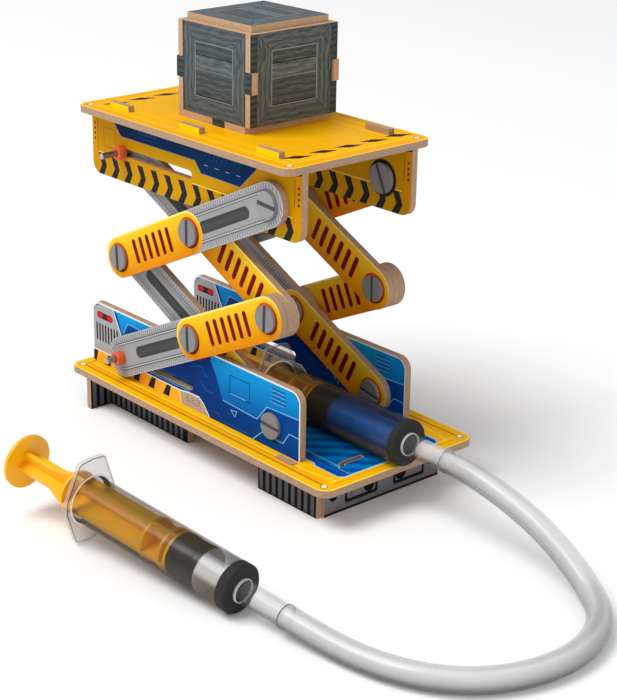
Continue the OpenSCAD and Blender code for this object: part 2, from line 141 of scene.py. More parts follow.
def paint_strips(piece, count, strips, index):
    """Gives whole strips between rings of so many corners another of the piece's materials."""
    faces = piece.data.polygons
    for strip in strips:
        first = strip * count % len(faces)
        for face in faces[first:first + count]:
            face.material_index = index


def ring_about_x(x, radius, matrix, count=72):
    """A ring about the X axis. The radius is a number or a function of the angle."""
    points = []
    for i in range(count):
        angle = 2 * math.pi * i / count
        r = radius(angle) if callable(radius) else radius
        points.append(matrix @ Vector((x, r * math.cos(angle), r * math.sin(angle))))
    return points


def softened(profile, size):
    """The profile with each corner cut into three points, so that its edges catch the light."""
    result = []
    for i, point in enumerate(profile):
        here = Vector(point)
        before = Vector(profile[i - 1]) - here
        after = Vector(profile[(i + 1) % len(profile)]) - here
        if min(before.length, after.length) < TINY:
            result.append(point)
            continue
        reach = min(size, before.length / 2.5, after.length / 2.5)
        start = here + before.normalized() * reach
        end = here + after.normalized() * reach
        result += [tuple(start), tuple((start + end) / 4 + here / 2), tuple(end)]
    return result


def turned(name, profile, matrix, paint, size):
    """A closed profile of (x, radius) turned about X, with soft edges. Points on the axis are kept off it."""
    rings = [ring_about_x(x, max(r, 0.02), matrix) for x, r in softened(profile, size)]
    return rings_object(name, rings, paint)


# ---------------- Outlines on a board's face


def rect(x0, y0, x1, y1):
    return [(x0, y0), (x1, y0), (x1, y1), (x0, y1)]


def arc(x, y, r, start, end, steps=10):
    angles = [math.radians(start + (end - start) * i / steps) for i in range(steps + 1)]
    return [(x + r * math.cos(a), y + r * math.sin(a)) for a in angles]


def disc(x, y, r, steps=36):
    return arc(x, y, r, 0, 360, steps)[:-1]


def rounded(x0, y0, x1, y1, r, low=True, high=True):
    """A rectangle with round corners, or with only its low or high ones round."""
    below, above = [(x0, y0), (x1, y0)], [(x1, y1), (x0, y1)]
    if low:
        below = arc(x0 + r, y0 + r, r, 180, 270) + arc(x1 - r, y0 + r, r, 270, 360)
    if high:
        above = arc(x1 - r, y1 - r, r, 0, 90) + arc(x0 + r, y1 - r, r, 90, 180)
    return below + above


def capsule(x0, x1, r, y=0):
    """A slot's outline along X."""
    return arc(x1, y, r, -90, 90, 16) + arc(x0, y, r, 90, 270, 16)


def mirrored(half):
    """An outline from its half above the X axis."""
    return half + [(x, -y) for x, y in reversed(half)]


def line(points, width, closed=False):
    """A drawn line as one four-sided outline for each of its stretches."""
    points = [Vector(p) for p in points]
    count = len(points)
    sides = []
    for i, here in enumerate(points):
        before = here - points[i - 1] if closed or i else points[1] - here
        after = points[(i + 1) % count] - here if closed or i < count - 1 else before
        before, after = before.normalized(), after.normalized()
        way = Vector((-(before.y + after.y), before.x + after.x)).normalized()
        turn = max(0.4, math.sqrt(max(0, (1 + before.dot(after)) / 2)))
        sides.append((here + way * width / 2 / turn, here - way * width / 2 / turn))
    if closed:
        sides.append(sides[0])
    return [[tuple(p) for p in (a[1], b[1], b[0], a[0])] for a, b in zip(sides, sides[1:])]


def anticlockwise(outline):
    area = sum(a[0] * b[1] - b[0] * a[1] for a, b in zip(outline, outline[1:] + outline[:1]))
    return outline if area > 0 else outline[::-1]


class Print:
    """A printed film on one face of a board. Areas are outlines on the face, and later ones cover earlier."""

    def __init__(self, name, origin, across, up, normal, ground, paint):
        self.name = name
        self.origin = origin
        self.axes = across, up, normal
        self.areas = [(paint, outline) for outline in ground]
        self.ground_count = len(ground)
        self.holes = []

    def add(self, paint, *outlines):
        self.areas += [(paint, outline) for outline in outlines]

    def draw(self, paint, width, *points, closed=False):
        self.add(paint, *line(points, width, closed))

    def cut(self, *outlines):
        self.holes += outlines

    def place(self, point, height):
        across, up, normal = self.axes
        return self.origin + (across * point[0] + up * point[1] + normal * height) * MM

    def build(self, body):
        outlines = [anticlockwise(list(outline)) for outline in [o for _, o in self.areas] + self.holes]
        points, loops = [], []
        for outline in outlines:
            loops.append(list(range(len(points), len(points) + len(outline))))
            points += [Vector(p) for p in outline]
        flat, _, triangles, _, _, owners = delaunay_2d_cdt(points, [], loops, 1, 1e-4)
        shown, paints = [], []
        for triangle, owner in zip(triangles, owners):
            if min(owner) < self.ground_count and max(owner) < len(self.areas):
                paint = self.areas[max(owner)][0]
                if paint not in paints:
                    paints.append(paint)
                shown.append((tuple(triangle), paints.index(paint)))
        used = sorted({corner for triangle, _ in shown for corner in triangle})
        number = {corner: i for i, corner in enumerate(used)}
        top = len(used)
        edges = {(t[i], t[(i + 1) % 3]) for t, _ in shown for i in range(3)}
        faces, face_paints = [], []
        for triangle, paint in shown:
            a, b, c = (number[corner] for corner in triangle)
            faces += [(a + top, b + top, c + top), (c, b, a)]
            face_paints += [paint, paint]
            for i in range(3):
                start, end = triangle[i], triangle[(i + 1) % 3]
                if (end, start) not in edges:
                    start, end = number[start], number[end]
                    faces.append((start, end, end + top, start + top))
                    face_paints.append(paint)
        across, up, normal = self.axes
        if across.cross(up).dot(normal) < 0:
            faces = [face[::-1] for face in faces]
        places = [self.place(flat[corner], height) for height in (0, FILM) for corner in used]
        piece = new_object(self.name, places, faces, paints, face_paints)
        marks = piece.data.attributes.new("board", "FLOAT_VECTOR", "POINT")
        for i, corner in enumerate(used):
            spot = (flat[corner][0], flat[corner][1], 0)
            marks.data[i].vector = spot
            marks.data[i + top].vector = spot
        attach(piece, body)
        return piece


# ---------------- Materials


def colour(red, green, blue):
    """A screen colour as the linear one that shaders take."""
    return tuple(c / 12.92 if c <= 0.04045 else ((c + 0.055) / 1.055) ** 2.4
                 for c in (red / 255, green / 255, blue / 255)) + (1.0,)


def tints(*stops):
    """Colour stops from (position, red, green, blue)."""
    return [(stop[0], colour(*stop[1:])) for stop in stops]


class Paint:
    """A material's node tree, with a few short ways to add to it."""

    def __init__(self, name, **sockets):
        self.material = bpy.data.materials.new(name)
        self.material.use_nodes = True
        self.tree = self.material.node_tree
        self.shader = self.tree.nodes["Principled BSDF"]
        self.fill(self.shader, **sockets)

    def fill(self, node, **sockets):
        """Sets a node's sockets by their names, with a low line for each space."""
        for socket, value in sockets.items():
            self.put(node.inputs[socket.replace("_", " ")], value)
        return node.outputs[0]

    def put(self, socket, value):
        if isinstance(value, bpy.types.NodeSocket):
            self.tree.links.new(value, socket)
        elif value is not None:
            socket.default_value = value

    def node(self, kind, *inputs, **settings):
        node = self.tree.nodes.new("ShaderNode" + kind)
        for key, value in settings.items():
            setattr(node, key, value)
        for socket, value in zip(node.inputs, inputs):
            self.put(socket, value)
        return node

    def math(self, operation, a, b=0.0):
        return self.node("Math", a, b, operation=operation).outputs[0]

    def plus(self, a, b):
        return self.math("ADD", a, b)

    def times(self, a, b):
        return self.math("MULTIPLY", a, b)

    def around_zero(self, value):
        """A noise moved from around a half to around zero."""
        return self.math("SUBTRACT", value, 0.5)

    def mix(self, amount, a, b, blend="MIX"):
        node = self.node("Mix", data_type="RGBA", blend_type=blend)
        self.put(node.inputs[0], amount)
        self.put(node.inputs[6], a)
        self.put(node.inputs[7], b)
        return node.outputs[2]

    def span(self, value, low, high):
        """The value from low to high as 0 to 1."""
        return self.node("MapRange", value, float(low), float(high), 0.0, 1.0).outputs[0]

    def ramp(self, value, stops):
        node = self.node("ValToRGB", value)
        places = node.color_ramp.elements
        while len(places) < len(stops):
            places.new(0.5)
        for place, stop in zip(places, stops):
            place.position = stop[0]
        for place, stop in zip(places, stops):
            place.color = stop[1]
        return node.outputs[0]

    def board(self):
        """The place on a printed face."""
        return self.node("Attribute", attribute_name="board").outputs["Vector"]

    def mark(self, name):
        """A number that is stored on the corners."""
        return self.node("Attribute", attribute_name=name).outputs["Fac"]

    def solid(self):
        """The place in the frame at rest, in millimetres."""
        return self.stretch(self.node("TexCoord").outputs["Object"], 1 / MM, 1 / MM, 1 / MM)

    def part(self, vector, axis):
        return self.node("SeparateXYZ", vector).outputs[axis]

    def stretch(self, vector, x, y, z):
        return self.node("VectorMath", vector, (x, y, z), operation="MULTIPLY").outputs[0]

    def noise(self, vector, scale, detail=2.0, roughness=0.5):
        node = self.node("TexNoise")
        return self.fill(node, Vector=vector, Scale=scale, Detail=detail, Roughness=roughness)

    def bump(self, height, distance_mm, strength=1.0):
        raised = self.fill(self.node("Bump"), Strength=strength, Distance=distance_mm * MM, Height=height)
        self.put(self.shader.inputs["Normal"], raised)

    def tone(self, base, value, amount):
        """The colour made lighter and darker by a noise around a half."""
        factor = self.plus(self.times(self.around_zero(value), 2 * amount), 1.0)
        return self.fill(self.node("HueSaturation"), Value=factor, Color=base)

    def done(self, base, rough=None):
        self.fill(self.shader, Base_Color=base, Roughness=rough)
        return self.material


FIBRES = 2.2, 3.0, 0.7
FIBRE_RELIEF = 0.03, 0.35


def ink(name, stops, axis="X", low=0, high=1, mottle=0.035, grain=0.0):
    """Print on a board. The stops are one colour, or colour stops from low to high along an axis."""
    paint = Paint(name, Specular_IOR_Level=0.04)
    spot = paint.board()
    base = stops
    if isinstance(stops, list):
        base = paint.ramp(paint.span(paint.part(spot, axis), low, high), stops)
    cloud = paint.noise(spot, 0.22, 4.0, 0.6)
    fibre = paint.noise(spot, *FIBRES)
    base = paint.tone(base, cloud, mottle)
    if grain:
        base = paint.tone(base, fibre, grain)
    paint.bump(fibre, *FIBRE_RELIEF)
    return paint.done(base, paint.plus(paint.times(cloud, 0.16), 0.47))


def chipboard(name, base, dark):
    """Bare pressed board with its fibres in flat layers."""
    paint = Paint(name, Specular_IOR_Level=0.25)
    spot = paint.solid()
    fibre = paint.noise(spot, 1.5, 4.0, 0.7)
    layer = paint.noise(paint.stretch(spot, 0.12, 0.12, 0.12), 4.0, 3.0, 0.6)
    mixed = paint.mix(paint.span(fibre, 0.3, 0.72), dark, base)
    mixed = paint.tone(mixed, layer, 0.12)
    paint.bump(fibre, 0.08, 0.5)
    return paint.done(mixed, paint.plus(paint.times(fibre, 0.2), 0.62))


def moulded(name, base, roughness, mottle=0.03, scratch=0.0, **sockets):
    """Moulded plastic or rubber with a little cloudiness, fine texture and scuffs."""
    paint = Paint(name, **sockets)
    spot = paint.solid()
    cloud = paint.noise(spot, 0.25, 3.0)
    fine = paint.noise(spot, 5.0, 2.0)
    base = paint.tone(base, cloud, mottle)
    if scratch:
        marks = paint.noise(paint.stretch(spot, 1.0, 1.0, 6.0), 1.4, 4.0, 0.8)
        base = paint.tone(base, marks, scratch)
    paint.bump(fine, 0.02, 0.4)
    return paint.done(base, paint.plus(paint.times(cloud, 0.14), roughness - 0.07))


# Clear plastic: its tints, and how much it covers, from the underside at 0 to the top at 1. These stops paint
# light and shade: painted shade, painted highlights and painted reflections.
# The barrels: dark brown, covering more at the top and the underside, as painted shade along their edges.
SHELL_EDGE_SHADE_TINT = tints((0, 66, 52, 34), (0.4, 88, 72, 50), (0.8, 76, 70, 60), (1, 70, 58, 38))
SHELL_EDGE_SHADE_COVER = [(0, 0.5), (0.2, 0.3), (0.42, 0.17), (0.7, 0.14), (0.92, 0.18), (1, 0.42)]
# The hand barrel's front, ahead of its stopper: painted reflections, brownish underneath, a light grey band
# high up and a dark line at the top.
GAP_REFLECTION_TINT = tints((0, 84, 70, 60), (0.35, 112, 98, 88), (0.6, 128, 118, 108),
                  (0.7, 224, 223, 222), (0.93, 230, 230, 230), (0.98, 60, 60, 60))
GAP_REFLECTION_COVER = [(0, 0.4), (0.35, 0.34), (0.6, 0.3), (0.7, 0.42), (0.93, 0.42), (0.98, 0.4)]
# The tube and the nozzles: grey below as painted shade, near white towards the top as a painted highlight,
# with the cover thicker where the shade is painted.
PIPE_LIGHT_AND_SHADE_TINT = tints((0, 84, 84, 84), (0.34, 138, 138, 138), (0.5, 226, 226, 226),
                  (0.95, 248, 248, 248), (1, 205, 205, 205))
PIPE_SHADE_COVER = [(0, 0.5), (0.34, 0.36), (0.46, 0.3), (0.95, 0.42), (1, 0.42)]
ROOT_SHADE_COVER = [(0, 0.3), (0.34, 0.1), (0.46, 0.03), (0.95, 0.03), (1, 0.1)]
TIP_SHADE_COVER = [(0, 0.5), (0.34, 0.3), (0.46, 0.3), (0.95, 0.42), (1, 0.42)]
# The lift barrel's front, ahead of its stopper: painted reflections of the blue boards round it, with a
# yellowish smear lower down.
LIFT_REFLECTION_TINT = tints((0, 56, 44, 34), (0.36, 120, 94, 40), (0.46, 28, 60, 108), (0.8, 42, 96, 168),
                  (0.95, 30, 64, 116), (1, 28, 32, 42))
LIFT_REFLECTION_COVER = [(0, 0.4), (0.36, 0.4), (0.48, 0.4), (0.8, 0.45), (0.95, 0.4), (1, 0.4)]


def shell(name, tint_stops, covers, absorb, front_look=None):
    """Thin clear plastic. Its tint and cover go from the underside to the top as painted light and shade,
    and a long way through it looks darker. From a place along it, it takes a second painted look."""
    paint = Paint(name, Specular_IOR_Level=0.6)
    height = paint.mark("height")
    cloud = paint.noise(paint.solid(), 0.12, 2.0)

    def shades(colours, amounts):
        greys = [(place, (amount, amount, amount, 1)) for place, amount in amounts]
        return paint.ramp(height, colours), paint.ramp(height, greys)

    tint, cover = shades(tint_stops, covers)
    if front_look:
        start, *looks = front_look
        front_tint, front_cover = shades(*looks)
        reach = paint.span(paint.mark("reach"), start, start + 0.01)
        tint, cover = paint.mix(reach, tint, front_tint), paint.mix(reach, cover, front_cover)
    paint.put(paint.shader.inputs["Alpha"], cover)
    paint.bump(cloud, 0.05, 0.3)
    inside = paint.node("VolumeAbsorption", (0.5, 0.48, 0.46, 1), absorb)
    output = paint.tree.nodes["Material Output"]
    paint.tree.links.new(inside.outputs[0], output.inputs["Volume"])
    return paint.done(paint.tone(tint, cloud, 0.05), 0.2)


def veil(name, shade, cover):
    """Clear plastic with one cover, cloudy in places."""
    paint = Paint(name, Specular_IOR_Level=0.6)
    cloud = paint.noise(paint.solid(), 0.2, 3.0)
    paint.put(paint.shader.inputs["Alpha"], paint.plus(paint.times(paint.around_zero(cloud), 0.1), cover))
    return paint.done(paint.tone(shade, cloud, 0.06), 0.25)


def mark_height(piece, axis_point):
    """Stores how high each corner of a round piece is, from 0 underneath to 1 on top, and how far along."""
    heights = piece.data.attributes.new("height", "FLOAT", "POINT")
    reaches = piece.data.attributes.new("reach", "FLOAT", "POINT")
    for height, reach, corner in zip(heights.data, reaches.data, piece.data.vertices):
        centre, radius, along = axis_point(corner.co)
        height.value = min(1, max(0, 0.5 + (corner.co.z - centre.z) / radius / 2))
        reach.value = along


BOARD = chipboard("bare_board", colour(192, 158, 130), colour(162, 131, 106))
CRATE_BOARD = chipboard("crate_board", colour(210, 174, 140), colour(180, 147, 116))

YELLOW = ink("ink_yellow", colour(250, 186, 4))
# The rails' yellow is print, set darker than the deck's and darker towards the ends as painted shade from the
# deck above.
SIDE_YELLOW_SHADED = ink("ink_side_yellow_shaded", tints((0, 198, 140, 0), (0.5, 210, 155, 4), (1, 200, 144, 2)),
                  "X", -75, 55, grain=0.05)
ORANGE = ink("ink_orange", colour(248, 172, 4))
DEEP_ORANGE = ink("ink_deep_orange", colour(238, 140, 4))
STRIP_ORANGE = ink("ink_strip_orange", colour(212, 142, 4))
TAB_YELLOW = ink("ink_tab_yellow", colour(255, 220, 14))
BROWN = ink("ink_brown", colour(150, 92, 10))
PALE_YELLOW = ink("ink_pale_yellow", colour(255, 226, 96))
BLACK = ink("ink_black", colour(42, 40, 40), mottle=0.1)
WHITE = ink("ink_white", colour(232, 238, 240))
GREY = ink("ink_grey", colour(166, 168, 172), mottle=0.06, grain=0.04)
LIGHT_GREY = ink("ink_light_grey", colour(180, 182, 184))
DARK_GREY = ink("ink_dark_grey", colour(84, 84, 88))
RED = ink("ink_red", colour(228, 22, 20))
DARK_RED = ink("ink_dark_red", colour(112, 14, 0))
NAVY = ink("ink_navy", tints((0, 0, 36, 76), (0.5, 0, 48, 94), (1, 0, 40, 84)), "X", -60, 55)
MID_BLUE = ink("ink_mid_blue", colour(6, 70, 128))
PALE_LINE = ink("ink_pale_blue_line", colour(126, 196, 238))
FAINT_LINE = ink("ink_faint_blue_line", colour(28, 96, 176))
DARK_BLUE = ink("ink_dark_blue", tints((0, 0, 74, 156), (0.45, 0, 50, 126), (1, 0, 72, 156)),
                "X", -62, 55, grain=0.04)

# ---------------- Tube

TUBE_R = 4.35
TUBE_WALL = 1.25
TUBE_CORNERS = 32
EDGE_SHARE = 0.25
tube_route = [
    (101.8, 0, 25.6), (107.5, 0, 25.6), (115, 0, 24.9), (125, 0, 23.1), (135, 0, 20.7), (145.5, -0.2, 17.4),
    (155.5, -0.8, 13.2), (164.5, -2, 8.9), (172.5, -4.6, 5.7), (179.5, -9, 4.5), (185.2, -15.2, 4.4),
    (189.6, -22.8, 4.4), (192.6, -31.6, 4.4), (193.8, -41, 4.4), (193, -51, 4.4), (190.4, -60.4, 4.4),
    (186, -69, 4.4), (179.6, -76.6, 4.4), (171.2, -82.8, 4.4), (161, -87.2, 4.4), (149.4, -90, 4.5),
    (136.8, -91.85, 5.3), (123.04, -93.64, 6.83)
]


def through(points, steps):
    """Points of a smooth curve through the given ones."""
    points = [Vector(p) for p in points]
    ends = [2 * points[0] - points[1]] + points + [2 * points[-1] - points[-2]]
    result = []
    for i in range(len(points) - 1):
        a, b, c, d = ends[i:i + 4]
        for k in range(steps):
            t = k / steps
            result.append(0.5 * (2 * b + (c - a) * t + (2 * a - 5 * b + 4 * c - d) * t ** 2
                                 + (3 * b - a - 3 * c + d) * t ** 3))
    return result + [points[-1]]


def swept_pipe(name, path, outer, inner, paint):
    """An open pipe along a path in millimetres: its outer skin, its far lip, its inner skin, its near lip."""
    last = len(path) - 1
    ways = [(path[min(i + 1, last)] - path[max(i - 1, 0)]).normalized() for i in range(last + 1)]
    angles = [2 * math.pi * j / TUBE_CORNERS for j in range(TUBE_CORNERS)]

    def ring(i, r):
        side = ways[i].cross(Vector((0, 0, 1))).normalized()
        up = ways[i].cross(side)
        return [at(*(path[i] + r * (math.cos(a) * side + math.sin(a) * up))) for a in angles]

    lip = outer - (outer - inner) * EDGE_SHARE
    rings = [ring(0, lip)] + [ring(i, outer) for i in range(last + 1)] + [ring(last, lip)]
    return rings_object(name, rings + [ring(i, inner) for i in range(last, -1, -1)], paint)


TUBE_CLEAR = shell("tube_clear", PIPE_LIGHT_AND_SHADE_TINT, PIPE_SHADE_COVER, 90.0)
# The tube's cut ends get a darker, more covered grey: painted shade on the lips.
TUBE_LIP_SHADE = veil("tube_lip_shade", colour(84, 84, 84), 0.6)
tube_path = through(tube_route, 6)
tube_path.insert(1, tube_path[0].lerp(tube_path[1], EDGE_SHARE))
tube_path.insert(-1, tube_path[-1].lerp(tube_path[-2], EDGE_SHARE))
tube = swept_pipe("water_tube", tube_path, TUBE_R, TUBE_R - TUBE_WALL, TUBE_CLEAR)
tube.data.materials.append(TUBE_LIP_SHADE)
paint_strips(tube, TUBE_CORNERS, (0, 1, len(tube_path) - 1, len(tube_path), -1), 1)
tube_line = [at(*p) for p in tube_path]
mark_height(tube, lambda place: (min(tube_line, key=lambda p: (p - place).length_squared), TUBE_R * MM, 0))
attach(tube, "root")
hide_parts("tube")

# ---------------- Printed plates

X_AXIS, Y_AXIS, Z_AXIS = Vector((1, 0, 0)), Vector((0, 1, 0)), Vector((0, 0, 1))
SIDE_OUT = box_mm("base_side_far")[1].y
SIDE_IN = box_mm("base_side_far")[0].y
SIDE_MIDDLE = (SIDE_OUT + SIDE_IN) / 2
TAB_CUT = 1.4
PIN_CUT_R = 2.6
SPACER_CUT_R = 9.05
PLATE_TOP = box_mm("base_plate")[1].z
DECK_TOP = box_mm("deck_plate")[1].z
RAIL_TABS = [(-54.5, 12.4), (-10, 12.4), (35.2, 12.6)]
SLOT_END = -8.6
TAB_MIDDLE = DECK_TOP + 19.3


def rivet(face, x, y):
    face.add(BROWN, disc(x, y, 1.5, 24))
    face.add(WHITE, disc(x - 0.1, y + 0.1, 1.15, 24))


def streaked(name):
    """A blue floor with slanting streaks that have ragged edges."""
    paint = Paint(name, Specular_IOR_Level=0.08)
    spot = paint.board()
    slant = paint.plus(paint.times(paint.part(spot, "X"), 0.73), paint.times(paint.part(spot, "Y"), -0.68))
    wave = paint.math("FRACT", paint.math("DIVIDE", slant, 6.4))
    edge = paint.noise(paint.stretch(spot, 0.5, 0.5, 1), 0.9, 3.0)
    ragged = paint.times(paint.around_zero(edge), 0.16)
    band = paint.span(paint.plus(paint.math("ABSOLUTE", paint.around_zero(wave)), ragged), 0.18, 0.3)
    base = paint.mix(band, colour(0, 124, 190), colour(0, 84, 160))
    paint.bump(paint.noise(spot, *FIBRES), *FIBRE_RELIEF)
    return paint.done(paint.tone(base, edge, 0.08), 0.4)


def tab_row(x0, x1, side):
    """Where the tabs of an upright board come through a plate."""
    return rect(x0, side * SIDE_MIDDLE - TAB_CUT, x1, side * SIDE_MIDDLE + TAB_CUT)


def rod_slot(rest):
    """Where a slide rod runs, from its place at rest."""
    return capsule(rest.x - 0.35, SLOT_END - 1.6, 1.65, rest.y)


def inset(half_l, half_w, by, r, middle=0):
    """A plate's outline moved inwards."""
    return rounded(middle - half_l + by, -half_w + by, middle + half_l - by, half_w - by, r)


def plate_print():
    """The base plate's top: an orange rim, a brown line, and a blue floor between the side boards."""
    half_l, half_w = BASE_L / 2, BASE_W / 2
    face = Print("base_plate_print", at(0, 0, PLATE_TOP), X_AXIS, Y_AXIS, Z_AXIS,
                 [inset(half_l, half_w, 0.1, CORNER_R)], PALE_YELLOW)
    face.add(YELLOW, inset(half_l, half_w, 0.7, CORNER_R - 0.6))
    for side in (-1, 1):
        face.add(ORANGE, rect(-74.2, side * 33 - 1.4, 73.4, side * 33 + 1.4))
        face.draw(BROWN, 0.6, (-75.2, side * 26), (-75.2, side * 34.2), (74.2, side * 34.2))
        face.draw(BROWN, 0.22, (-74, side * 31.6), (58, side * 31.6))
        face.draw(PALE_YELLOW, 0.4, (-72, side * 30.7), (62, side * 30.7), (74.6, side * 28.2))
    face.add(ORANGE, rect(74.6, -30, 76.6, 30))
    face.draw(PALE_YELLOW, 0.45, (74.8, -31), (74.8, 31))
    for side in (-1, 1):
        rivet(face, 75.6, side * 34.6)
        rivet(face, -75.6, side * 34.6)
    for paint, half in (
        (PALE_LINE, [(74.6, 23.6), (72.6, 25.6), (60, 25.6), (58, 24.3), (-70, 24.3), (-72, 22.5)]),
        (DARK_BLUE, [(73.9, 23.4), (72.3, 25), (60.3, 25), (58.3, 23.7), (-69.7, 23.7), (-71.4, 22.3)]),
    ):
        face.add(paint, mirrored(half))
    face.add(streaked("ink_blue_streaks"), rect(-71.4, -20.6, 73.9, 20.6))
    turn_x, turn_y = 67.4, 15.3
    tie_slot = [(63.8, 5.9), (66.2, 5.9)]
    tie_slot += arc(turn_x, turn_y, 1.2, 180, 90, 3) + arc(turn_x, turn_y, 3.6, 90, 180, 3)
    for side in (-1, 1):
        inner, outer, lane = side * 18.9, side * 20.4, side * 22.2
        face.draw(PALE_LINE, 0.3, (-40, inner), (66, inner), (68, outer), (73.9, outer))
        face.draw(FAINT_LINE, 0.5, (-40, lane), (73.9, lane))
        face.cut(tab_row(-76.9, 55.1, side), [(x, side * y) for x, y in tie_slot])
    flange = box_mm("lift_barrel")[0].x + 1
    face.cut(rect(flange - 1.2, -9.6, flange + 1.2, 9.6), rect(45.5, -32.2, 55.3, -29.1))
    face.build("root")


def tread_plate(name):
    """Yellow tread with small raised diamonds."""
    paint = Paint(name, Specular_IOR_Level=0.04)
    spot = paint.board()
    ridges = []
    for turn in (1.0, -1.0):
        slant = paint.plus(paint.part(spot, "X"), paint.times(paint.part(spot, "Y"), turn))
        ridges.append(paint.math("SINE", paint.times(slant, math.pi / 1.75)))
    lattice = paint.span(paint.times(*ridges), -0.5, 0.6)
    base = paint.mix(lattice, colour(236, 160, 0), colour(255, 200, 12))
    paint.bump(lattice, 0.2, 0.7)
    return paint.done(paint.tone(base, paint.noise(spot, 0.12, 3.0), 0.05), 0.42)


def deck_print():
    """The deck's top: yellow tread between orange lines, with a row of black slashes at each end."""
    middle = (box_mm("deck_plate")[0].x + box_mm("deck_plate")[1].x) / 2
    half_l, half_w = DECK_L / 2, DECK_W / 2
    low, high = middle - half_l, middle + half_l
    face = Print("deck_print", at(0, 0, DECK_TOP), X_AXIS, Y_AXIS, Z_AXIS,
                 [inset(half_l, half_w, 0.1, CORNER_R, middle)], PALE_YELLOW)
    face.add(ORANGE, inset(half_l, half_w, 0.6, CORNER_R - 0.5, middle))
    face.add(PALE_YELLOW, rounded(low + 5.2, -half_w + 4.8, high - 5.2, half_w - 4.8, 1.5))
    face.add(YELLOW, rounded(low + 5.6, -half_w + 5.1, high - 5.6, half_w - 5.1, 1.2))
    for side in (-1, 1):
        face.draw(DEEP_ORANGE, 0.45, (low + 5, side * 27.2), (high - 5, side * 27.2))
    tread = rect(low + 8.6, -22, high - 10.2, 22)
    face.add(tread_plate("ink_tread"), tread)
    face.draw(DEEP_ORANGE, 0.35, *tread, closed=True)
    for k in range(-2, 3):
        for x, y in ((41.6, 12.4 * k - 2.4), (-66, 12.4 * k - 3.5)):
            face.add(BLACK, [(x, y), (x, y + 6.4), (x + 3.7, y + 11.6), (x + 3.7, y + 5.2)])
    for side in (-1, 1):
        rivet(face, -69.4, side * 31.2)
        rivet(face, 50.4, side * 31)
        for x, length in RAIL_TABS:
            face.cut(tab_row(x - length / 2, x + length / 2, side))
    face.build("deck")


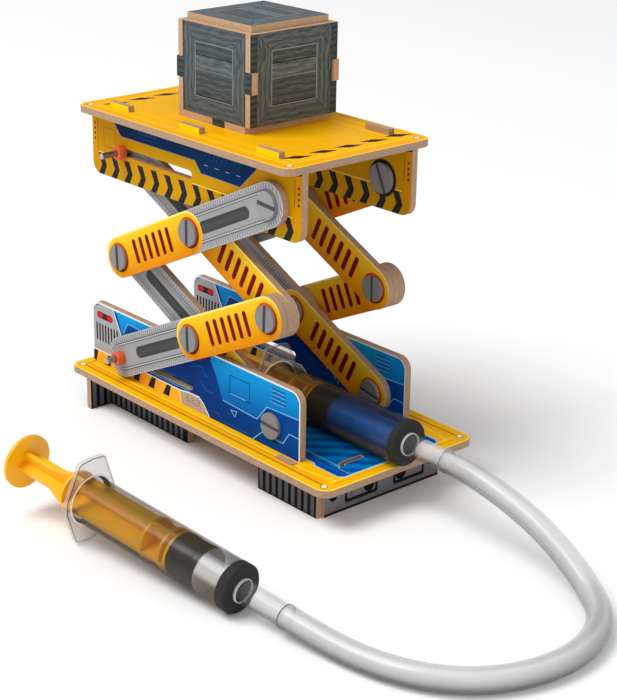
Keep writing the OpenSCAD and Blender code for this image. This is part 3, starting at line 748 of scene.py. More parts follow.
def side_print(name, y, normal):
    """A side board's face: blue circuit shapes, a hazard strip at the bottom, a grey grille at the back."""
    low, high = box_mm("base_side_near")
    bottom, top = PLATE_TOP, high.z
    back, front = low.x, high.x
    left, right, roof = back + 0.7, front - 0.7, top - 0.75
    outline = rounded(back + 0.05, bottom + 0.1, front - 0.05, top - 0.05, CORNER_R, low=False)
    face = Print(name, at(0, y, 0), X_AXIS, Z_AXIS, normal, [outline], WHITE)
    face.add(DARK_BLUE, rounded(left, bottom, right, roof, CORNER_R - 0.6, low=False))
    face.add(SIDE_CYAN, [(2.7, 39.8), (5.8, 35.3), (10, 26.3), (30.4, 25.3), (36.1, 32.1), (right, 32.8),
                         (right, top - 5), (front - 2.2, top - 2.2), (front - 5, roof), (2.3, roof)])
    for paint, width, *points in (
        (FAINT_LINE, 0.35, (2.4, 42), (2.7, 39.8), (5.8, 35.3), (10, 26.3), (12, 26.2)),
        (PALE_LINE, 0.38, (10, 26.3), (30.4, 25.3), (36.1, 32.1), (right, 32.8)),
        (PALE_LINE, 0.38, (28.1, 16.4), (33.4, 21), (45.5, 20.6), (48.8, 25.5), (right, 25.3)),
        (FAINT_LINE, 0.35, (-10.5, 34), (-2.9, 36.3), (-1.7, 33.4), (0.8, 32.9)),
        (FAINT_LINE, 0.35, (-9, 37.6), (-6, 40.3), (0, 40.3)),
        (FAINT_LINE, 0.3, (-4, 30), (-1, 27), (4, 27)),
    ):
        face.draw(paint, width, *points)
    face.draw(NAVY, 0.35, (14.3, 30.1), (14.3, 38), (26, 38), (26, 30.1), closed=True)
    face.draw(PALE_LINE, 0.3, (14.6, 30.5), (22, 30.5), (23.5, 30.5))
    for k in range(4):
        z = 35.2 + 1.65 * k
        face.add(DARK_BLUE, [(38.3, z), (46.3, z), (46.9, z + 0.75), (38.9, z + 0.75)])
        face.draw(PALE_LINE, 0.22, (38.3, z), (46.3, z))
    face.draw(PALE_LINE, 0.3, (14.9, 23.8), (18.5, 24.2), (17.3, 21.7), closed=True)
    face.draw(FAINT_LINE, 0.35, (1.3, 19.2), (6.9, 19.8), (10, 17.5), (26, 17.5))
    for k in range(3):
        z = 23.05 + 0.75 * k
        face.draw(PALE_LINE, 0.22, (-61, z), (-10.5, z))
    # Blue zone with a darker badge shape towards the back
    face.add(SIDE_CYAN, [(-61.5, 42.4), (-59.3, 41.7), (-56.1, 33.9), (-48, 33.9), (-36, 42.65), (-40, roof),
                         (-60, roof)])
    face.add(DARK_BLUE, [(-55, 34.6), (-51.7, 39.5), (-44.1, 39.1), (-49, 34.6)])
    face.draw(PALE_LINE, 0.3, (-55, 34.6), (-51.7, 39.5), (-44.1, 39.1))
    # Grey end with a light bar and a grille
    face.add(GREY, [(left, 22.2), (-57.6, 22.2), (-56.8, 33.2), (-62.1, roof), (-71.5, roof),
                    (-74.7, top - 2.2), (left, top - 5)])
    face.draw(WHITE, 0.5, (-57.6, 22.2), (-56.8, 33.2), (-62.1, top - 0.8))
    face.add(BLACK, rounded(-73.6, 36.5, -62.6, 39.3, 1.2))
    face.add(RED, rounded(-73.2, 36.9, -69.6, 38.9, 0.9), rounded(-66.6, 36.9, -63, 38.9, 0.9))
    for k in range(5):
        face.add(DARK_RED, rect(-69.2 + 0.5 * k, 37.1, -69 + 0.5 * k, 38.7))
    for k in range(8):
        x = -74.4 + 2.05 * k
        face.add(BLACK, rounded(x, 26.4, x + 1.05, 34.2, 0.4))
    # Hazard strip, which ends in a grey wedge with a white border
    strip_top = 21.7
    bend, foot = (-17.2, strip_top), (-16.6, bottom)
    crest = [(-10.7, 22.5), (-4.9, 22.6), (-2.4, 20.9)]
    face.add(HAZARD_GROUND, [(left, bottom), (left, strip_top + 0.2), bend, foot])
    for k in range(6):
        x = -25.7 - 10.1 * k
        face.add(BLACK, [(x, strip_top - 0.25), (x + 2.7, strip_top - 0.25), (x + 1.3, bottom + 0.4),
                         (x - 2.8, bottom + 0.4)])
    face.add(WEDGE_GREY, [foot, bend, *crest, (1.9, bottom)])
    face.draw(WHITE, 0.55, (back + 0.8, strip_top + 0.2), bend, *crest, (1.7, bottom + 0.2))
    face.draw(PALE_YELLOW, 0.7, bend, (foot[0], bottom + 0.2))
    for k in range(3):
        x = -13.9 + 3.6 * k
        face.draw(BLACK, 0.18, (x, 20.6), (x + 2.2, 20.9), (x + 2.2, 19.8), (x + 0.4, 19.6))
        face.draw(BLACK, 0.18, (x + 0.3, 18.6), (x + 2.6, 18.9), (x + 2.9, 17.8))
    face.cut(rod_slot(LOW_SLIDE), disc(*LOW_PIVOT, PIN_CUT_R), disc(*LOW_CENTRE, SPACER_CUT_R, 48))
    face.build("root")


def rail_print(name, y, normal, side, tabs):
    """A deck rail's face: yellow with chevrons along the bottom and a blue band along the top."""
    low, high = box_mm("deck_rail_near")
    back, front, bottom = low.x, high.x, low.z
    roof = box_mm("deck_plate")[0].z - 0.1
    left, right = back + 0.1, front - 0.1
    tops = [rect(x - size / 2 + 0.1, DECK_TOP, x + size / 2 - 0.1, DECK_TOP + 2.25) for x, size in tabs]
    outline = rounded(back + 0.05, bottom + 0.05, front - 0.05, roof, CORNER_R, high=False)
    face = Print(name, at(0, y, 0), X_AXIS, Z_AXIS, normal, [outline, *tops], SIDE_YELLOW_SHADED)
    face.add(TAB_YELLOW, *tops)
    for x0, x1, line_x, line_z in ((left, -69.6, -69.6, 108.8), (50.2, right, 50.2, 112.8)):
        face.add(STRIP_ORANGE, rect(x0, bottom + CORNER_R, x1, roof))
        face.draw(BROWN, 0.4, (line_x, line_z), (line_x, 122.6))
    for z in (119.9, 117.8, 115.8, 113.7):
        face.add(BLACK, disc(-71.4, z, 0.55, 16), disc(52.4, z, 0.55, 16))
    face.draw(BROWN, 0.3, *rounded(-65.4, 111.5, -57.8, 119.3, 0.8), closed=True)
    for x0, x1 in ((-69.6, -54), (-8, front - 5)):
        face.draw(PALE_YELLOW, 0.35, (x0, 108.6), (x1, 108.6))
    band = [(-57.6, 121.9), (-53.7, 117.8), (-6.5, 117.9), (-2.9, 113.7), (20, 113.4), (29, 121.7)]
    face.add(NAVY, [(-60.5, roof), *band, (31.5, roof)])
    face.draw(FAINT_LINE, 0.3, *band)
    for k in range(4):
        x = -1 + 6.3 * k
        face.draw(PALE_LINE, 0.22, (x, 117.2), (x + 2.4, 117.2))
    for k in range(9):
        x = -1.5 + 2.5 * k
        face.add(MID_BLUE, [(x, 119.2), (x + 0.6, 119.2), (x + 2.4, 122.6), (x + 1.8, 122.6)])
    for k in range(6):
        face.add(MID_BLUE, rect(-42 + 2 * k, 120.6, -40.8 + 2 * k, 123.2))
    face.draw(MID_BLUE, 0.4, (-42, 119.4), (-29, 119.4))
    face.add(NAVY, [(44, roof), (47.5, 123.4), (right, 124.6), (right, roof)])
    pitch, width, point, chevron_top, apex = 8.75, 3.7, 5.8, 108.3, 103.5
    for k in range(14):
        x = -69.6 + pitch * k
        if x + point < front - 0.5:
            face.add(BLACK, [(x, chevron_top), (x + width, chevron_top), (x + point, apex),
                             (x + width, bottom), (x, bottom), (x + 2.5, apex)])
    # On the inner faces, a black disc round the deck pivot: painted shadow round the pivot's cap.
    if normal.y * side < 0:
        face.add(BLACK, disc(*DECK_PIVOT, 7.2))
    face.cut(rod_slot(Vector((LEFT_JOINT.x, DECK_PIVOT.y))), disc(*DECK_PIVOT, PIN_CUT_R))
    face.build("deck")


SIDE_CYAN = ink("ink_side_cyan", tints((0, 0, 62, 138), (0.5, 0, 112, 190), (1, 10, 156, 224)),
                "Y", 17, 43, grain=0.04)
HAZARD_GROUND = ink("ink_hazard_ground", tints((0, 246, 178, 30), (1, 246, 186, 66)), "X", -75, -17,
                    mottle=0.12, grain=0.1)
WEDGE_GREY = ink("ink_wedge_grey", colour(182, 172, 156), mottle=0.06, grain=0.05)

plate_print()
deck_print()
for side_name, side in SIDES:
    side_print(f"base_side_{side_name}_outer_print", side * SIDE_OUT, Y_AXIS * side)
    side_print(f"base_side_{side_name}_inner_print", side * SIDE_IN, Y_AXIS * -side)
    proud = RAIL_TABS if side < 0 else [RAIL_TABS[0], RAIL_TABS[2]]
    rail_print(f"deck_rail_{side_name}_outer_print", side * SIDE_OUT, Y_AXIS * side, side, proud)
    rail_print(f"deck_rail_{side_name}_inner_print", side * SIDE_IN, Y_AXIS * -side, side, [])

# ---------------- Printed arms

ARM_YELLOW = ink("ink_arm_yellow", tints((0, 226, 138, 4), (0.3, 234, 164, 8), (0.6, 240, 184, 20),
                                         (1, 255, 206, 44)), "Y", -8, 8)
ARM_RIM = ink("ink_arm_rim", tints((0, 236, 130, 4), (0.45, 250, 176, 20), (0.75, 255, 226, 90),
                                   (1, 255, 238, 140)), "Y", -8.4, 8.4)
ARM_RING = ink("ink_arm_ring", tints((0, 110, 20, 6), (0.5, 196, 52, 10), (1, 240, 96, 24)),
               "Y", -6.4, 6.4)
ARM_GREY = ink("ink_arm_grey", tints((0, 148, 149, 151), (0.5, 164, 165, 167), (1, 146, 147, 149)),
               "Y", -8, 8, mottle=0.08, grain=0.05)
ARM_SLOT = ink("ink_arm_slot", tints((0, 66, 66, 68), (0.5, 78, 78, 80), (1, 62, 62, 64)),
               "Y", -2.2, 2.2)


def dotted(name, base, dot):
    """A light rim with a row of small dots."""
    paint = Paint(name, Specular_IOR_Level=0.1)
    spot = paint.board()
    along = paint.math("SINE", paint.times(paint.part(spot, "X"), 2 * math.pi / 1.5))
    grain = paint.noise(spot, 1.6, 3.0)
    amount = paint.span(paint.plus(along, grain), 0.5, 1.3)
    paint.bump(grain, 0.03, 0.3)
    return paint.done(paint.tone(paint.mix(amount, base, dot), grain, 0.06))


ARM_DOTS = dotted("ink_arm_dots", colour(136, 137, 140), colour(188, 189, 191))


def arm_print(name, y, normal, low, to_back, yellow_low, body):
    """One face of an arm: half of it yellow with six vents, half grey with a long dark slot."""
    rise = (LOW_CENTRE - LOW_SLIDE).normalized()
    way = -1 if to_back else 1
    along, up = Vector((way * rise.x, 0, rise.y)), Vector((-way * rise.y, 0, rise.x))
    if not yellow_low:
        low = low + Vector((along.x, along.z)) * PITCH
        along = -along
    middle, radius = PITCH / 2, ARM_R - 0.05
    face = Print(name, at(low.x, y, low.y), along, up, normal, [capsule(0, PITCH, radius)], LIGHT_GREY)
    for shade, r in ((ARM_DOTS, radius - 0.35), (ARM_GREY, radius - 1.75), (DARK_GREY, 5.7),
                     (LIGHT_GREY, 5.3), (DARK_GREY, 4.75), (ARM_GREY, 4.45)):
        face.add(shade, capsule(middle, PITCH, r))
    face.add(DARK_GREY, capsule(59.9, 87.3, 2.4), capsule(60.1, 87.1, 2.45))
    face.add(ARM_SLOT, capsule(60.1, 87.1, 2.1))
    face.add(ARM_RIM, capsule(0, middle, radius))
    face.add(ARM_YELLOW, capsule(0, middle, radius - 0.7))
    for k in range(6):
        x = 12.6 + 4.8 * k
        face.add(DEEP_ORANGE, rounded(x - 1.3, -5.2, x + 1.3, 5.2, 1.25))
        face.add(DARK_RED, rounded(x - 1.05, -4.95, x + 1.05, 4.95, 1.0))
    for x in (0, middle):
        face.add(ARM_RING, disc(x, 0, HEAD_R + 1.0))
    for x in (0, middle, PITCH):
        face.cut(disc(x, 0, 2.4, 24))
    face.build(body)


arms = [
    ("lower_inner_arm", LOW_PIVOT, True, True),
    ("lower_outer_arm", LOW_SLIDE, False, False),
    ("upper_outer_arm", LEFT_JOINT, False, True),
    ("upper_inner_arm", RIGHT_JOINT, True, True),
]
for arm, low_end, to_back, yellow_low in arms:
    for side_name, side in SIDES:
        node_low, node_high = box_mm(f"{arm}_{side_name}")
        outer_y, inner_y = (node_low.y, node_high.y) if side < 0 else (node_high.y, node_low.y)
        flipped = arm == "upper_outer_arm" and side > 0
        for face_name, y, way in (("outer", outer_y, side), ("inner", inner_y, -side)):
            arm_print(f"{arm}_{side_name}_{face_name}_print", y, Y_AXIS * way, low_end, to_back,
                      yellow_low != flipped, f"{arm}s")

# ---------------- Printed feet

# The foot inks grow lighter towards the top as painted light. The panels' grey is set lighter still, as
# painted light on a face in shade, and the near-black discs are painted shade in the holes.
FOOT_BLACK = ink("ink_foot_black", tints((0, 14, 14, 15), (1, 26, 26, 28)), "Y", 0, 13.5, mottle=0.15)
FOOT_BAR_LIT_TOP = ink("ink_foot_bar_lit_top", tints((0, 76, 76, 78), (0.8, 104, 105, 107), (1, 130, 131, 134)),
               "Y", 0, 13.5, mottle=0.1, grain=0.08)
FOOT_HOLE_SHADE = ink("ink_foot_hole_shade", colour(8, 8, 9))
FOOT_FACE_LIT = ink("ink_foot_face_lit", tints((0, 104, 104, 106), (1, 140, 140, 142)), "Y", 0, 13.5, mottle=0.12)


def foot_print(name, origin, along, normal, length, holes=()):
    """A foot board's face: black with raised-looking bars, or with panels and round holes painted as shade.
    """
    top = plate_low.z / MM - 0.1
    face = Print(name, origin, along, Z_AXIS, normal, [rect(0.05, 0.1, length - 0.05, top)], FOOT_BLACK)
    pitch, bar = 3.6, 1.9
    if holes:
        face.add(FOOT_FACE_LIT, rect(0.05, 1, length - 0.05, top))
        for hole in holes:
            face.add(FOOT_HOLE_SHADE, disc(hole, top / 2 + 0.6, 2, 24))
        for start, end, knob in ((9.9, 26.8, 22.3), (34.4, 51, 38.5)):
            face.add(FOOT_BAR_LIT_TOP, rounded(start, 2.6, end, top - 0.6, 1.2))
            face.add(FOOT_BLACK, rounded(start + 0.35, 3, end - 0.35, top - 0.6, 1))
            face.add(FOOT_FACE_LIT, rounded(start + 1.4, 4.2, end - 1.4, top - 0.6, 0.8))
            face.add(FOOT_BAR_LIT_TOP, rect(start + 3, 5, start + 4, top - 2))
            face.add(FOOT_HOLE_SHADE, disc(knob, top / 2 + 0.2, 2.7))
            face.add(FOOT_BLACK, disc(knob, top / 2 + 0.2, 2.1))
    else:
        for k in range(int((length - 1.2) / pitch) + 1):
            x = 0.9 + pitch * k
            if x + bar < length - 0.3:
                face.add(FOOT_BAR_LIT_TOP, rect(x, 0.6, x + bar, top - 0.9))
    face.build("root")


def feet():
    """Both broad faces of every foot board. Only the front end's outer face has panels and holes."""
    for node in ("back_foot_end", "front_foot_end", "back_foot_side_near", "back_foot_side_far",
                 "front_foot_side_near", "front_foot_side_far"):
        low, high = box_mm(node)
        outward = 1 if node in ("front_foot_end", "back_foot_side_far", "front_foot_side_far") else -1
        for name, sign in ((f"{node}_print", outward), (f"{node}_inner_print", -outward)):
            face = high if sign > 0 else low
            if node.endswith("end"):
                holes = (4.4, 54) if name == "front_foot_end_print" else ()
                foot_print(name, at(face.x, low.y, 0), Y_AXIS, X_AXIS * sign, high.y - low.y, holes)
            else:
                foot_print(name, at(low.x, face.y, 0), X_AXIS, Y_AXIS * sign, high.x - low.x)


feet()

# ---------------- Printed crate


def wood(name, base, dark, light, along_x, shift):
    """Weathered planks' grain with knots."""
    paint = Paint(name, Specular_IOR_Level=0.08)
    moved = paint.node("VectorMath", paint.board(), shift, operation="ADD").outputs[0]

    def along_grain(slow, fast):
        return paint.stretch(moved, *((slow, fast, 1) if along_x else (fast, slow, 1)))

    knots = paint.fill(paint.node("TexVoronoi"), Vector=along_grain(0.06, 0.16), Scale=1.0)
    swirl = paint.plus(paint.noise(moved, 0.09, 2.0), paint.span(knots, 0.0, 0.35))
    bands = paint.plus(paint.times(paint.part(moved, "Y" if along_x else "X"), 2.6), paint.times(swirl, 7.0))
    rings = paint.span(paint.math("SINE", bands), -1, 1)
    fibre = paint.noise(along_grain(0.12, 1.6), 1.6, 4.0, 0.75)
    amount = paint.plus(paint.times(rings, 0.14), paint.times(fibre, 0.86))
    shade = paint.ramp(paint.span(amount, 0.28, 0.72), [(0, dark), (0.5, base), (1, light)])
    paint.bump(fibre, 0.06, 0.5)
    return paint.done(paint.mix(paint.span(knots, 0.0, 0.09), dark, shade), 0.55)


def shaded(shade, amount):
    return tuple(min(1, c * amount) for c in shade[:3]) + (1,)


# The tones of each grain; the edge grain's 0.55 makes the painted shade beyond the frame and on the tabs.
GRAINS = (("along", 1, True, 13, 5), ("up", 1, False, 3, 29), ("edge", 0.55, True, 7, 61),
          ("upper", 0.8, True, 41, 77), ("middle", 1.25, True, 23, 11), ("lower", 0.78, True, 57, 35))


def crate_face(name, place, normal, sheet, frame_box, tone, tabs=()):
    """A crate board's face: mitred borders round three planks, with pale edge lines as painted highlights,
    and plain wood, darker as painted shade, beyond them and on the tabs.
    """
    woods = [wood(f"{name}_grain_{grain}", *(shaded(c, amount) for c in tone), along_x, (x, y, 0))
             for grain, amount, along_x, x, y in GRAINS]
    flat, tall, shadow, upper, middle, lower = woods
    seam = ink(name + "_seam", colour(24, 27, 28))
    edge_highlight = ink(name + "_pale", shaded(tone[2], 1.5))
    face = Print(name, *place, normal, [sheet, *tabs], shadow)
    x0, y0, x1, y1 = frame_box
    border = min(x1 - x0, y1 - y0) * 0.2
    left, low, right, high = x0 + border, y0 + border, x1 - border, y1 - border
    face.add(tall, rect(x0, y0, x1, y1))
    face.add(flat, [(x0, y0), (x1, y0), (right, low), (left, low)])
    face.add(flat, [(left, high), (right, high), (x1, y1), (x0, y1)])
    shift = 0.25
    # Pale lines beside the mitres and along the planks: painted highlights on their edges.
    for corner, inward in zip(rect(x0, y0, x1, y1), rect(left, low, right, high)):
        face.draw(edge_highlight, 0.2, (corner[0], corner[1] + shift), (inward[0], inward[1] + shift))
        face.draw(seam, 0.3, corner, inward)
    height = y1 - y0 - 2 * border
    first, second = low + height * 0.5, low + height * 0.76
    face.add(lower, rect(left, low, right, high))
    face.add(middle, rect(left, first, right, second))
    face.add(upper, rect(left, second, right, high))
    face.draw(seam, 0.35, (left, second + 0.2), (right, second + 0.2))
    face.draw(edge_highlight, 0.18, (left, first), (right, first))
    face.draw(seam, 0.4, (left, low + 0.35), (right, low + 0.35))
    face.draw(edge_highlight, 0.3, *rect(left, low, right, high), closed=True)
    chance = random.Random(len(name) * 7 + int(x1 * 10))
    for _ in range(9):
        x, y = chance.uniform(left + 0.5, right - 5), chance.uniform(low + 1, high - 1)
        length = chance.uniform(1.5, 4.5)
        crack = (0, 0), (0.4, -0.14), (1, 0.05), (0.5, 0.16)
        face.add(seam, [(x + length * share, y + rise) for share, rise in crack])
    face.build("crate")


GREEN_WOOD = colour(88, 93, 91), colour(48, 53, 52), colour(124, 128, 126)
BLUE_WOOD = colour(82, 91, 94), colour(44, 52, 55), colour(112, 121, 124)
LID_WOOD = colour(92, 101, 106), colour(50, 59, 64), colour(116, 125, 130)


def crate_prints():
    """Every outer face of the crate. The near and far walls carry tabs, the front and back are notched."""
    edge, notch = 0.06, 2.7
    x0, x1 = box_mm("crate_wall_back")[1].x, box_mm("crate_wall_front")[0].x
    tab_z0, tab_z1 = TAB_MIDDLE - 4, TAB_MIDDLE + 4
    for side_name, side in SIDES:
        low, high = box_mm(f"crate_wall_{side_name}")
        tabs = [rect(low.x + edge, tab_z0, x0, tab_z1), rect(x1, tab_z0, high.x - edge, tab_z1)]
        bottom, top = low.z + edge, high.z - edge
        if side < 0:
            bottom = box_mm("crate_wall_front")[0].z + edge
            tabs.append(rect(-12.3 + edge, low.z + edge, -5 - edge, bottom))
        place = at(0, low.y if side < 0 else high.y, 0), X_AXIS, Z_AXIS
        crate_face(f"crate_wall_{side_name}_print", place, Y_AXIS * side, rect(x0, bottom, x1, top),
                   (x0 + 0.9, bottom, x1 - 0.4, top), BLUE_WOOD, tabs)
    for node, sign in (("crate_wall_front", 1), ("crate_wall_back", -1)):
        low, high = box_mm(node)
        y0, y1, z0, z1 = low.y + edge, high.y - edge, low.z + edge, high.z - edge
        sheet = [(y0, z0), (y1, z0), (y1, tab_z0), (y1 - notch, tab_z0), (y1 - notch, tab_z1), (y1, tab_z1),
                 (y1, z1), (y0, z1), (y0, tab_z1), (y0 + notch, tab_z1), (y0 + notch, tab_z0), (y0, tab_z0)]
        place = at(high.x if sign > 0 else low.x, 0, 0), Y_AXIS, Z_AXIS
        crate_face(f"{node}_print", place, X_AXIS * sign, sheet, (y0 + 3.4, z0, y1 - 3.4, z1), GREEN_WOOD)
    low, high = box_mm("crate_lid")
    lid = low.x + edge, low.y + edge, high.x - edge, high.y - edge
    crate_face("crate_lid_print", (at(0, 0, high.z), X_AXIS, Y_AXIS), Z_AXIS, rect(*lid), lid, LID_WOOD)


crate_prints()

# ---------------- Syringes

BARREL_L, BARREL_R, BARREL_BORE = 75, 8.8, 8.1
FLANGE_T, END_T, NOZZLE_L = 2, 2.5, 19
STOPPER_L = 13.2
BARREL_CORNERS = 96
LIFT_GAP, HAND_GAP = 35.1, 14.8

lift_nose = at(box_mm("lift_barrel_end")[1].x, 0, LOW_PIVOT.y)
hand_way = -Vector(joints["hand_plunger_slide"]["axis"]).normalized()
hand_side = Z_AXIS.cross(hand_way).normalized()
hand_nose = at(104.3, -96, BARREL_R * math.sqrt(1 - hand_way.z ** 2) + 0.05)


def frame_matrix(origin, x, y, z):
    """Local millimetres to the frame's metres."""
    turn = Matrix((x, y, z)).transposed().to_4x4()
    return Matrix.Translation(origin) @ turn @ Matrix.Scale(MM, 4)


lift_matrix = frame_matrix(lift_nose, X_AXIS, Y_AXIS, Z_AXIS)
hand_matrix = frame_matrix(hand_nose, hand_way, hand_side, hand_way.cross(hand_side))

BARREL_CLEAR = {}
for which, *look in (("lift", 1 - LIFT_GAP / BARREL_L, LIFT_REFLECTION_TINT, LIFT_REFLECTION_COVER),
                     ("hand", 1 - HAND_GAP / BARREL_L, GAP_REFLECTION_TINT, GAP_REFLECTION_COVER)):
    BARREL_CLEAR[which] = shell(f"{which}_barrel_clear", SHELL_EDGE_SHADE_TINT, SHELL_EDGE_SHADE_COVER, 200.0, look)
# Copies of the flange's clear plastic: its rim lighter as painted light, its front bevel dark as painted
# shade, and the ring where the barrel leaves it pale as a painted highlight.
FLANGE_CLEAR = veil("flange_clear", colour(168, 167, 166), 0.24)
FLANGE_RIM_LIT = veil("flange_rim_lit", colour(198, 194, 188), 0.4)
FLANGE_EDGE_SHADE = veil("flange_edge_shade", colour(70, 68, 66), 0.85)
MOUTH_RING_HIGHLIGHT = veil("mouth_ring_highlight", colour(244, 240, 230), 0.85)
NOZZLE_CLEAR = shell("nozzle_clear", PIPE_LIGHT_AND_SHADE_TINT, ROOT_SHADE_COVER, 60.0, (1.38, PIPE_LIGHT_AND_SHADE_TINT, TIP_SHADE_COVER))
# A pale ring at each nozzle's root: a painted highlight on the root's curve.
COLLAR_HIGHLIGHT = moulded("nozzle_collar", colour(206, 206, 204), 0.35)
# The stoppers' front faces: pale in the hand syringe as painted light, blue in the lift syringe as a painted
# reflection of the boards round it.
STOPPER_FACE_REFLECTIONS = {"hand": moulded("stopper_face_pale", colour(206, 203, 200), 0.35),
                 "lift": moulded("stopper_face_blue", colour(34, 56, 96), 0.35)}
RUBBER = moulded("stopper_rubber", colour(30, 30, 31), 0.5)
END_BLACK = moulded("barrel_end_black", colour(44, 43, 43), 0.7, scratch=0.2, Specular_IOR_Level=0.2)


def flange_radius(angle):
    """The finger flange's outline, a long hexagon with bent ends, as a distance from the axis."""
    corners = [Vector(c) for c in mirrored([(11.2, 2.5), (5.9, 15.8), (0, 16.5), (-5.9, 15.8), (-11.2, 2.5)])]
    ray = Vector((math.cos(angle), math.sin(angle)))
    reaches = []
    for start, end in zip(corners, corners[1:] + corners[:1]):
        outward = Vector((end.y - start.y, start.x - end.x))
        if outward.dot(ray) > 0:
            reaches.append(outward.dot(start) / outward.dot(ray))
    return min(reaches)


def around(matrix, radius, length):
    """Finds where a syringe's axis passes a point, its radius there, and how far along the length that is."""
    back = matrix.inverted()

    def axis_point(place):
        x = (back @ place).x
        return matrix @ Vector((x, 0, 0)), radius * MM, 1 + x / length

    return axis_point


def barrel(name, matrix, nodes):
    """A clear barrel with its finger flange, hollow and open at the back."""
    back, front = -BARREL_L, -END_T
    face = back + FLANGE_T

    def rim(inward):
        return lambda angle: flange_radius(angle) - inward

    sections = [
        (back + 0.1, BARREL_BORE), (back, BARREL_BORE + 0.15),
        (back, rim(0.5)), (back + 0.15, rim(0.12)), (back + 0.6, rim(0)),
        (face - 0.6, rim(0)), (face - 0.15, rim(0.12)), (face, rim(0.5)),
        (face, BARREL_R + 0.9), (face + 0.25, BARREL_R + 0.3), (face + 0.9, BARREL_R), (face + 2, BARREL_R),
        *((x, BARREL_R) for x in (-50, -30, -12, front)),
        *((x, BARREL_BORE) for x in (front, -12, -30, -50, back + 2)),
    ]
    rings = [ring_about_x(x, radius, matrix, BARREL_CORNERS) for x, radius in sections]
    piece = rings_object(name, rings, BARREL_CLEAR[name[:4]])
    piece.data.set_sharp_from_angle(angle=math.radians(50))
    # The flange's faces take these copies with painted light, painted shade and a painted highlight.
    for paint in (FLANGE_CLEAR, FLANGE_RIM_LIT, FLANGE_EDGE_SHADE, MOUTH_RING_HIGHLIGHT):
        piece.data.materials.append(paint)
    for index, strips in ((1, (1, 2, 7)), (2, (3, 4, 5)), (3, (6,)), (4, (8,))):
        paint_strips(piece, BARREL_CORNERS, strips, index)
    mark_height(piece, around(matrix, BARREL_R, BARREL_L))
    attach(piece, "root")
    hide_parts(*nodes)


def barrel_end(name, matrix, back, node):
    """The black end, with a sleeve that overlaps the clear barrel."""
    inside, outside, hole = BARREL_R + 0.02, BARREL_R + 0.06, 1.7
    profile = [(-END_T, hole), (-END_T, inside), (-back, inside), (-back, outside), (-0.7, outside),
               (0, BARREL_R - 0.6), (0, hole)]
    piece = turned(name, profile, matrix, END_BLACK, 0.12)
    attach(piece, "root")
    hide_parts(node)


def nozzle(name, matrix, node):
    """A clear hollow nozzle with a rim at its tip, and a pale collar at its root as a painted highlight."""
    profile = [(0.05, 3.3), (0.05, 4.2), (NOZZLE_L - 1.4, 3.85), (NOZZLE_L - 1.2, 3.95), (NOZZLE_L, 3.85),
               (NOZZLE_L, 3.0)]
    piece = turned(name, profile, matrix, NOZZLE_CLEAR, 0.2)
    mark_height(piece, around(matrix, 4.15, NOZZLE_L))
    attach(piece, "root")
    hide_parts(node)
    profile = [(0.02, 4.0), (0.02, 4.4), (1, 4.35), (1.1, 4.0)]
    collar = turned(name + "_collar", profile, matrix, COLLAR_HIGHLIGHT, 0.2)
    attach(collar, "root")


def stopper(name, matrix, gap, body, node):
    """A rubber stopper with a sealing lip at each end."""
    back, front = -gap - STOPPER_L, -gap
    lip, neck = BARREL_BORE - 0.08, 7.75
    profile = [(back, 0), (back, lip), (back + 3, lip), (back + 4, neck), (front - 4, neck), (front - 3, lip),
               (front - 0.7, lip), (front, neck), (front, 0)]
    piece = turned(name, profile, matrix, RUBBER, 0.4)
    # The front face takes its painted light or painted reflection.
    piece.data.materials.append(STOPPER_FACE_REFLECTIONS[name[:4]])
    place = matrix.inverted()
    for face in piece.data.polygons:
        if (place @ face.center).x > front - 0.3:
            face.material_index = 1
    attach(piece, body)
    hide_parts(node)


for which, matrix, gap, sleeve in (("lift", lift_matrix, LIFT_GAP, 2.5), ("hand", hand_matrix, HAND_GAP, 4)):
    barrel(f"{which}_barrel_shell", matrix, [f"{which}_barrel"])
    barrel_end(f"{which}_barrel_cap", matrix, sleeve, f"{which}_barrel_end")
    nozzle(f"{which}_nozzle_clear", matrix, f"{which}_nozzle")
    stopper(f"{which}_rubber_stopper", matrix, gap, f"{which}_piston", f"{which}_stopper")

# ---------------- Materials of the CAD pieces

PIN_GREY = moulded("pin_grey_plastic", colour(128, 128, 129), 0.5, scratch=0.14)
PIN_PALE = moulded("pin_pale_plastic", colour(146, 147, 148), 0.5, scratch=0.14)
PIN_SHADE = moulded("pin_slot_shade", colour(76, 76, 78), 0.6)
STEEL = moulded("rod_steel", colour(176, 178, 182), 0.3, scratch=0.2, Metallic=1.0)
STOP_ORANGE = moulded("stop_orange_rubber", colour(224, 92, 36), 0.6, mottle=0.08)
PLUNGER_ORANGE = moulded("plunger_orange_plastic", colour(250, 184, 6), 0.4, mottle=0.04)


def soften_edges(piece, width):
    """Joins the imported corners and rounds the edges a little, so that they catch the light."""
    weld = piece.modifiers.new("weld", "WELD")
    weld.merge_threshold = 0.002 * MM
    bevel = piece.modifiers.new("bevel", "BEVEL")
    bevel.width = width * MM
    bevel.segments = 2
    bevel.limit_method = "ANGLE"
    bevel.angle_limit = math.radians(40)
    bevel.harden_normals = True


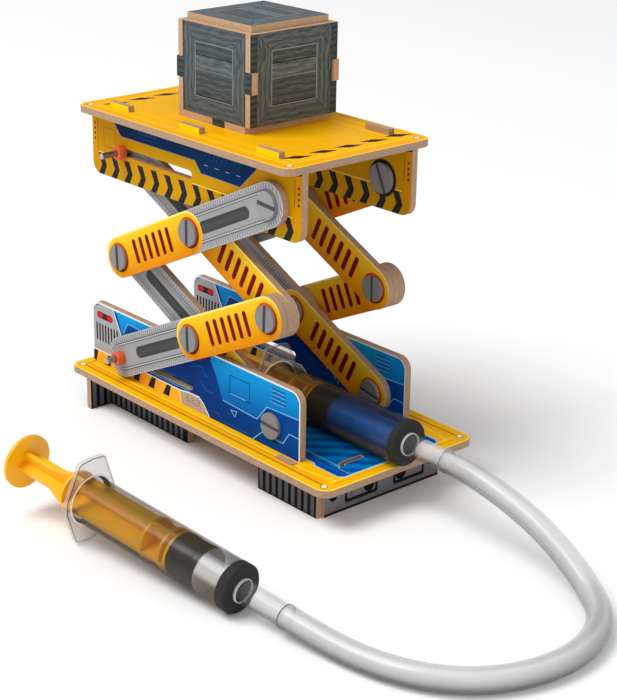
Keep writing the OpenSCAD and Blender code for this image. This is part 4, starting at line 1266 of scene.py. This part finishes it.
def shade_slots(piece):
    """Gives the floors of the screw slots a darker grey, as painted shade."""
    piece.data.materials.append(PIN_SHADE)
    piece.data.materials.append(PIN_PALE)
    faces = piece.data.polygons
    for side in (-1, 1):
        flat = [f for f in faces if abs(f.normal.y) > 0.99 and (f.center.y - MIDDLE.y) * side > 0]
        levels = sorted({round((f.center.y - MIDDLE.y) * side / MM, 1) for f in flat})
        for face in flat:
            depth = (face.center.y - MIDDLE.y) * side / MM
            outward = face.normal.y * side > 0
            edge = levels[-1] if outward else levels[0]
            if 0.4 < abs(edge - depth) < 0.8:
                face.material_index = 1
            elif side < 0 and piece.name == "deck_pivot_pins":
                face.material_index = 2


def finish_for(node):
    if node.endswith(("_pins", "_caps")):
        return PIN_GREY, 0.18
    if node.endswith("slide_rod"):
        return STEEL, 0
    if node.endswith(("_stops", "_rings")):
        return STOP_ORANGE, 0.3
    if node.endswith("_plunger"):
        return PLUNGER_ORANGE, 0.2
    if node.startswith("crate"):
        return CRATE_BOARD, 0
    return BOARD, 0


REDRAWN = "barrel", "barrel_end", "nozzle", "stopper"
replaced = {"tube"} | {f"{which}_{part}" for which in ("lift", "hand") for part in REDRAWN}
for node, piece in frame["nodes"].items():
    if node in replaced:
        continue
    material, rounding = finish_for(node)
    piece.data.materials.clear()
    piece.data.materials.append(material)
    if material is PIN_GREY:
        shade_slots(piece)
    if rounding:
        soften_edges(piece, rounding)

# ---------------- Floor and light

floor_paint = Paint("floor_pale", Roughness=0.8, Specular_IOR_Level=0.2)
floor_shade = floor_paint.tone(colour(253, 253, 253), floor_paint.noise(floor_paint.solid(), 0.01, 2.0), 0.01)
floor_paint.done(floor_shade)
floor_size = 4
corners = [(x * floor_size, y * floor_size, -0.0001) for x, y in ((-1, -1), (1, -1), (1, 1), (-1, 1))]
floor = new_object("floor", corners, [(0, 1, 2, 3)], [floor_paint.material])

world = bpy.data.worlds.new("studio")
world.use_nodes = True
world.node_tree.nodes["Background"].inputs["Color"].default_value = (1, 1, 1, 1)
world.node_tree.nodes["Background"].inputs["Strength"].default_value = 0.47
bpy.context.scene.world = world


def softbox(name, place, target, size, power):
    """A square area light that faces a point."""
    light = bpy.data.lights.new(name, "AREA")
    light.size = size
    light.energy = power
    lamp = bpy.data.objects.new(name, light)
    bpy.context.scene.collection.objects.link(lamp)
    lamp.location = place
    lamp.rotation_euler = (Vector(target) - Vector(place)).to_track_quat("-Z", "Y").to_euler()


target = at(0, 0, 60)
softbox("key", at(-900, -1900, 3500), target, 2.2, 122)
softbox("front", at(1800, -500, 1000), target, 1.2, 6)
bpy.context.scene.view_settings.view_transform = "Standard"
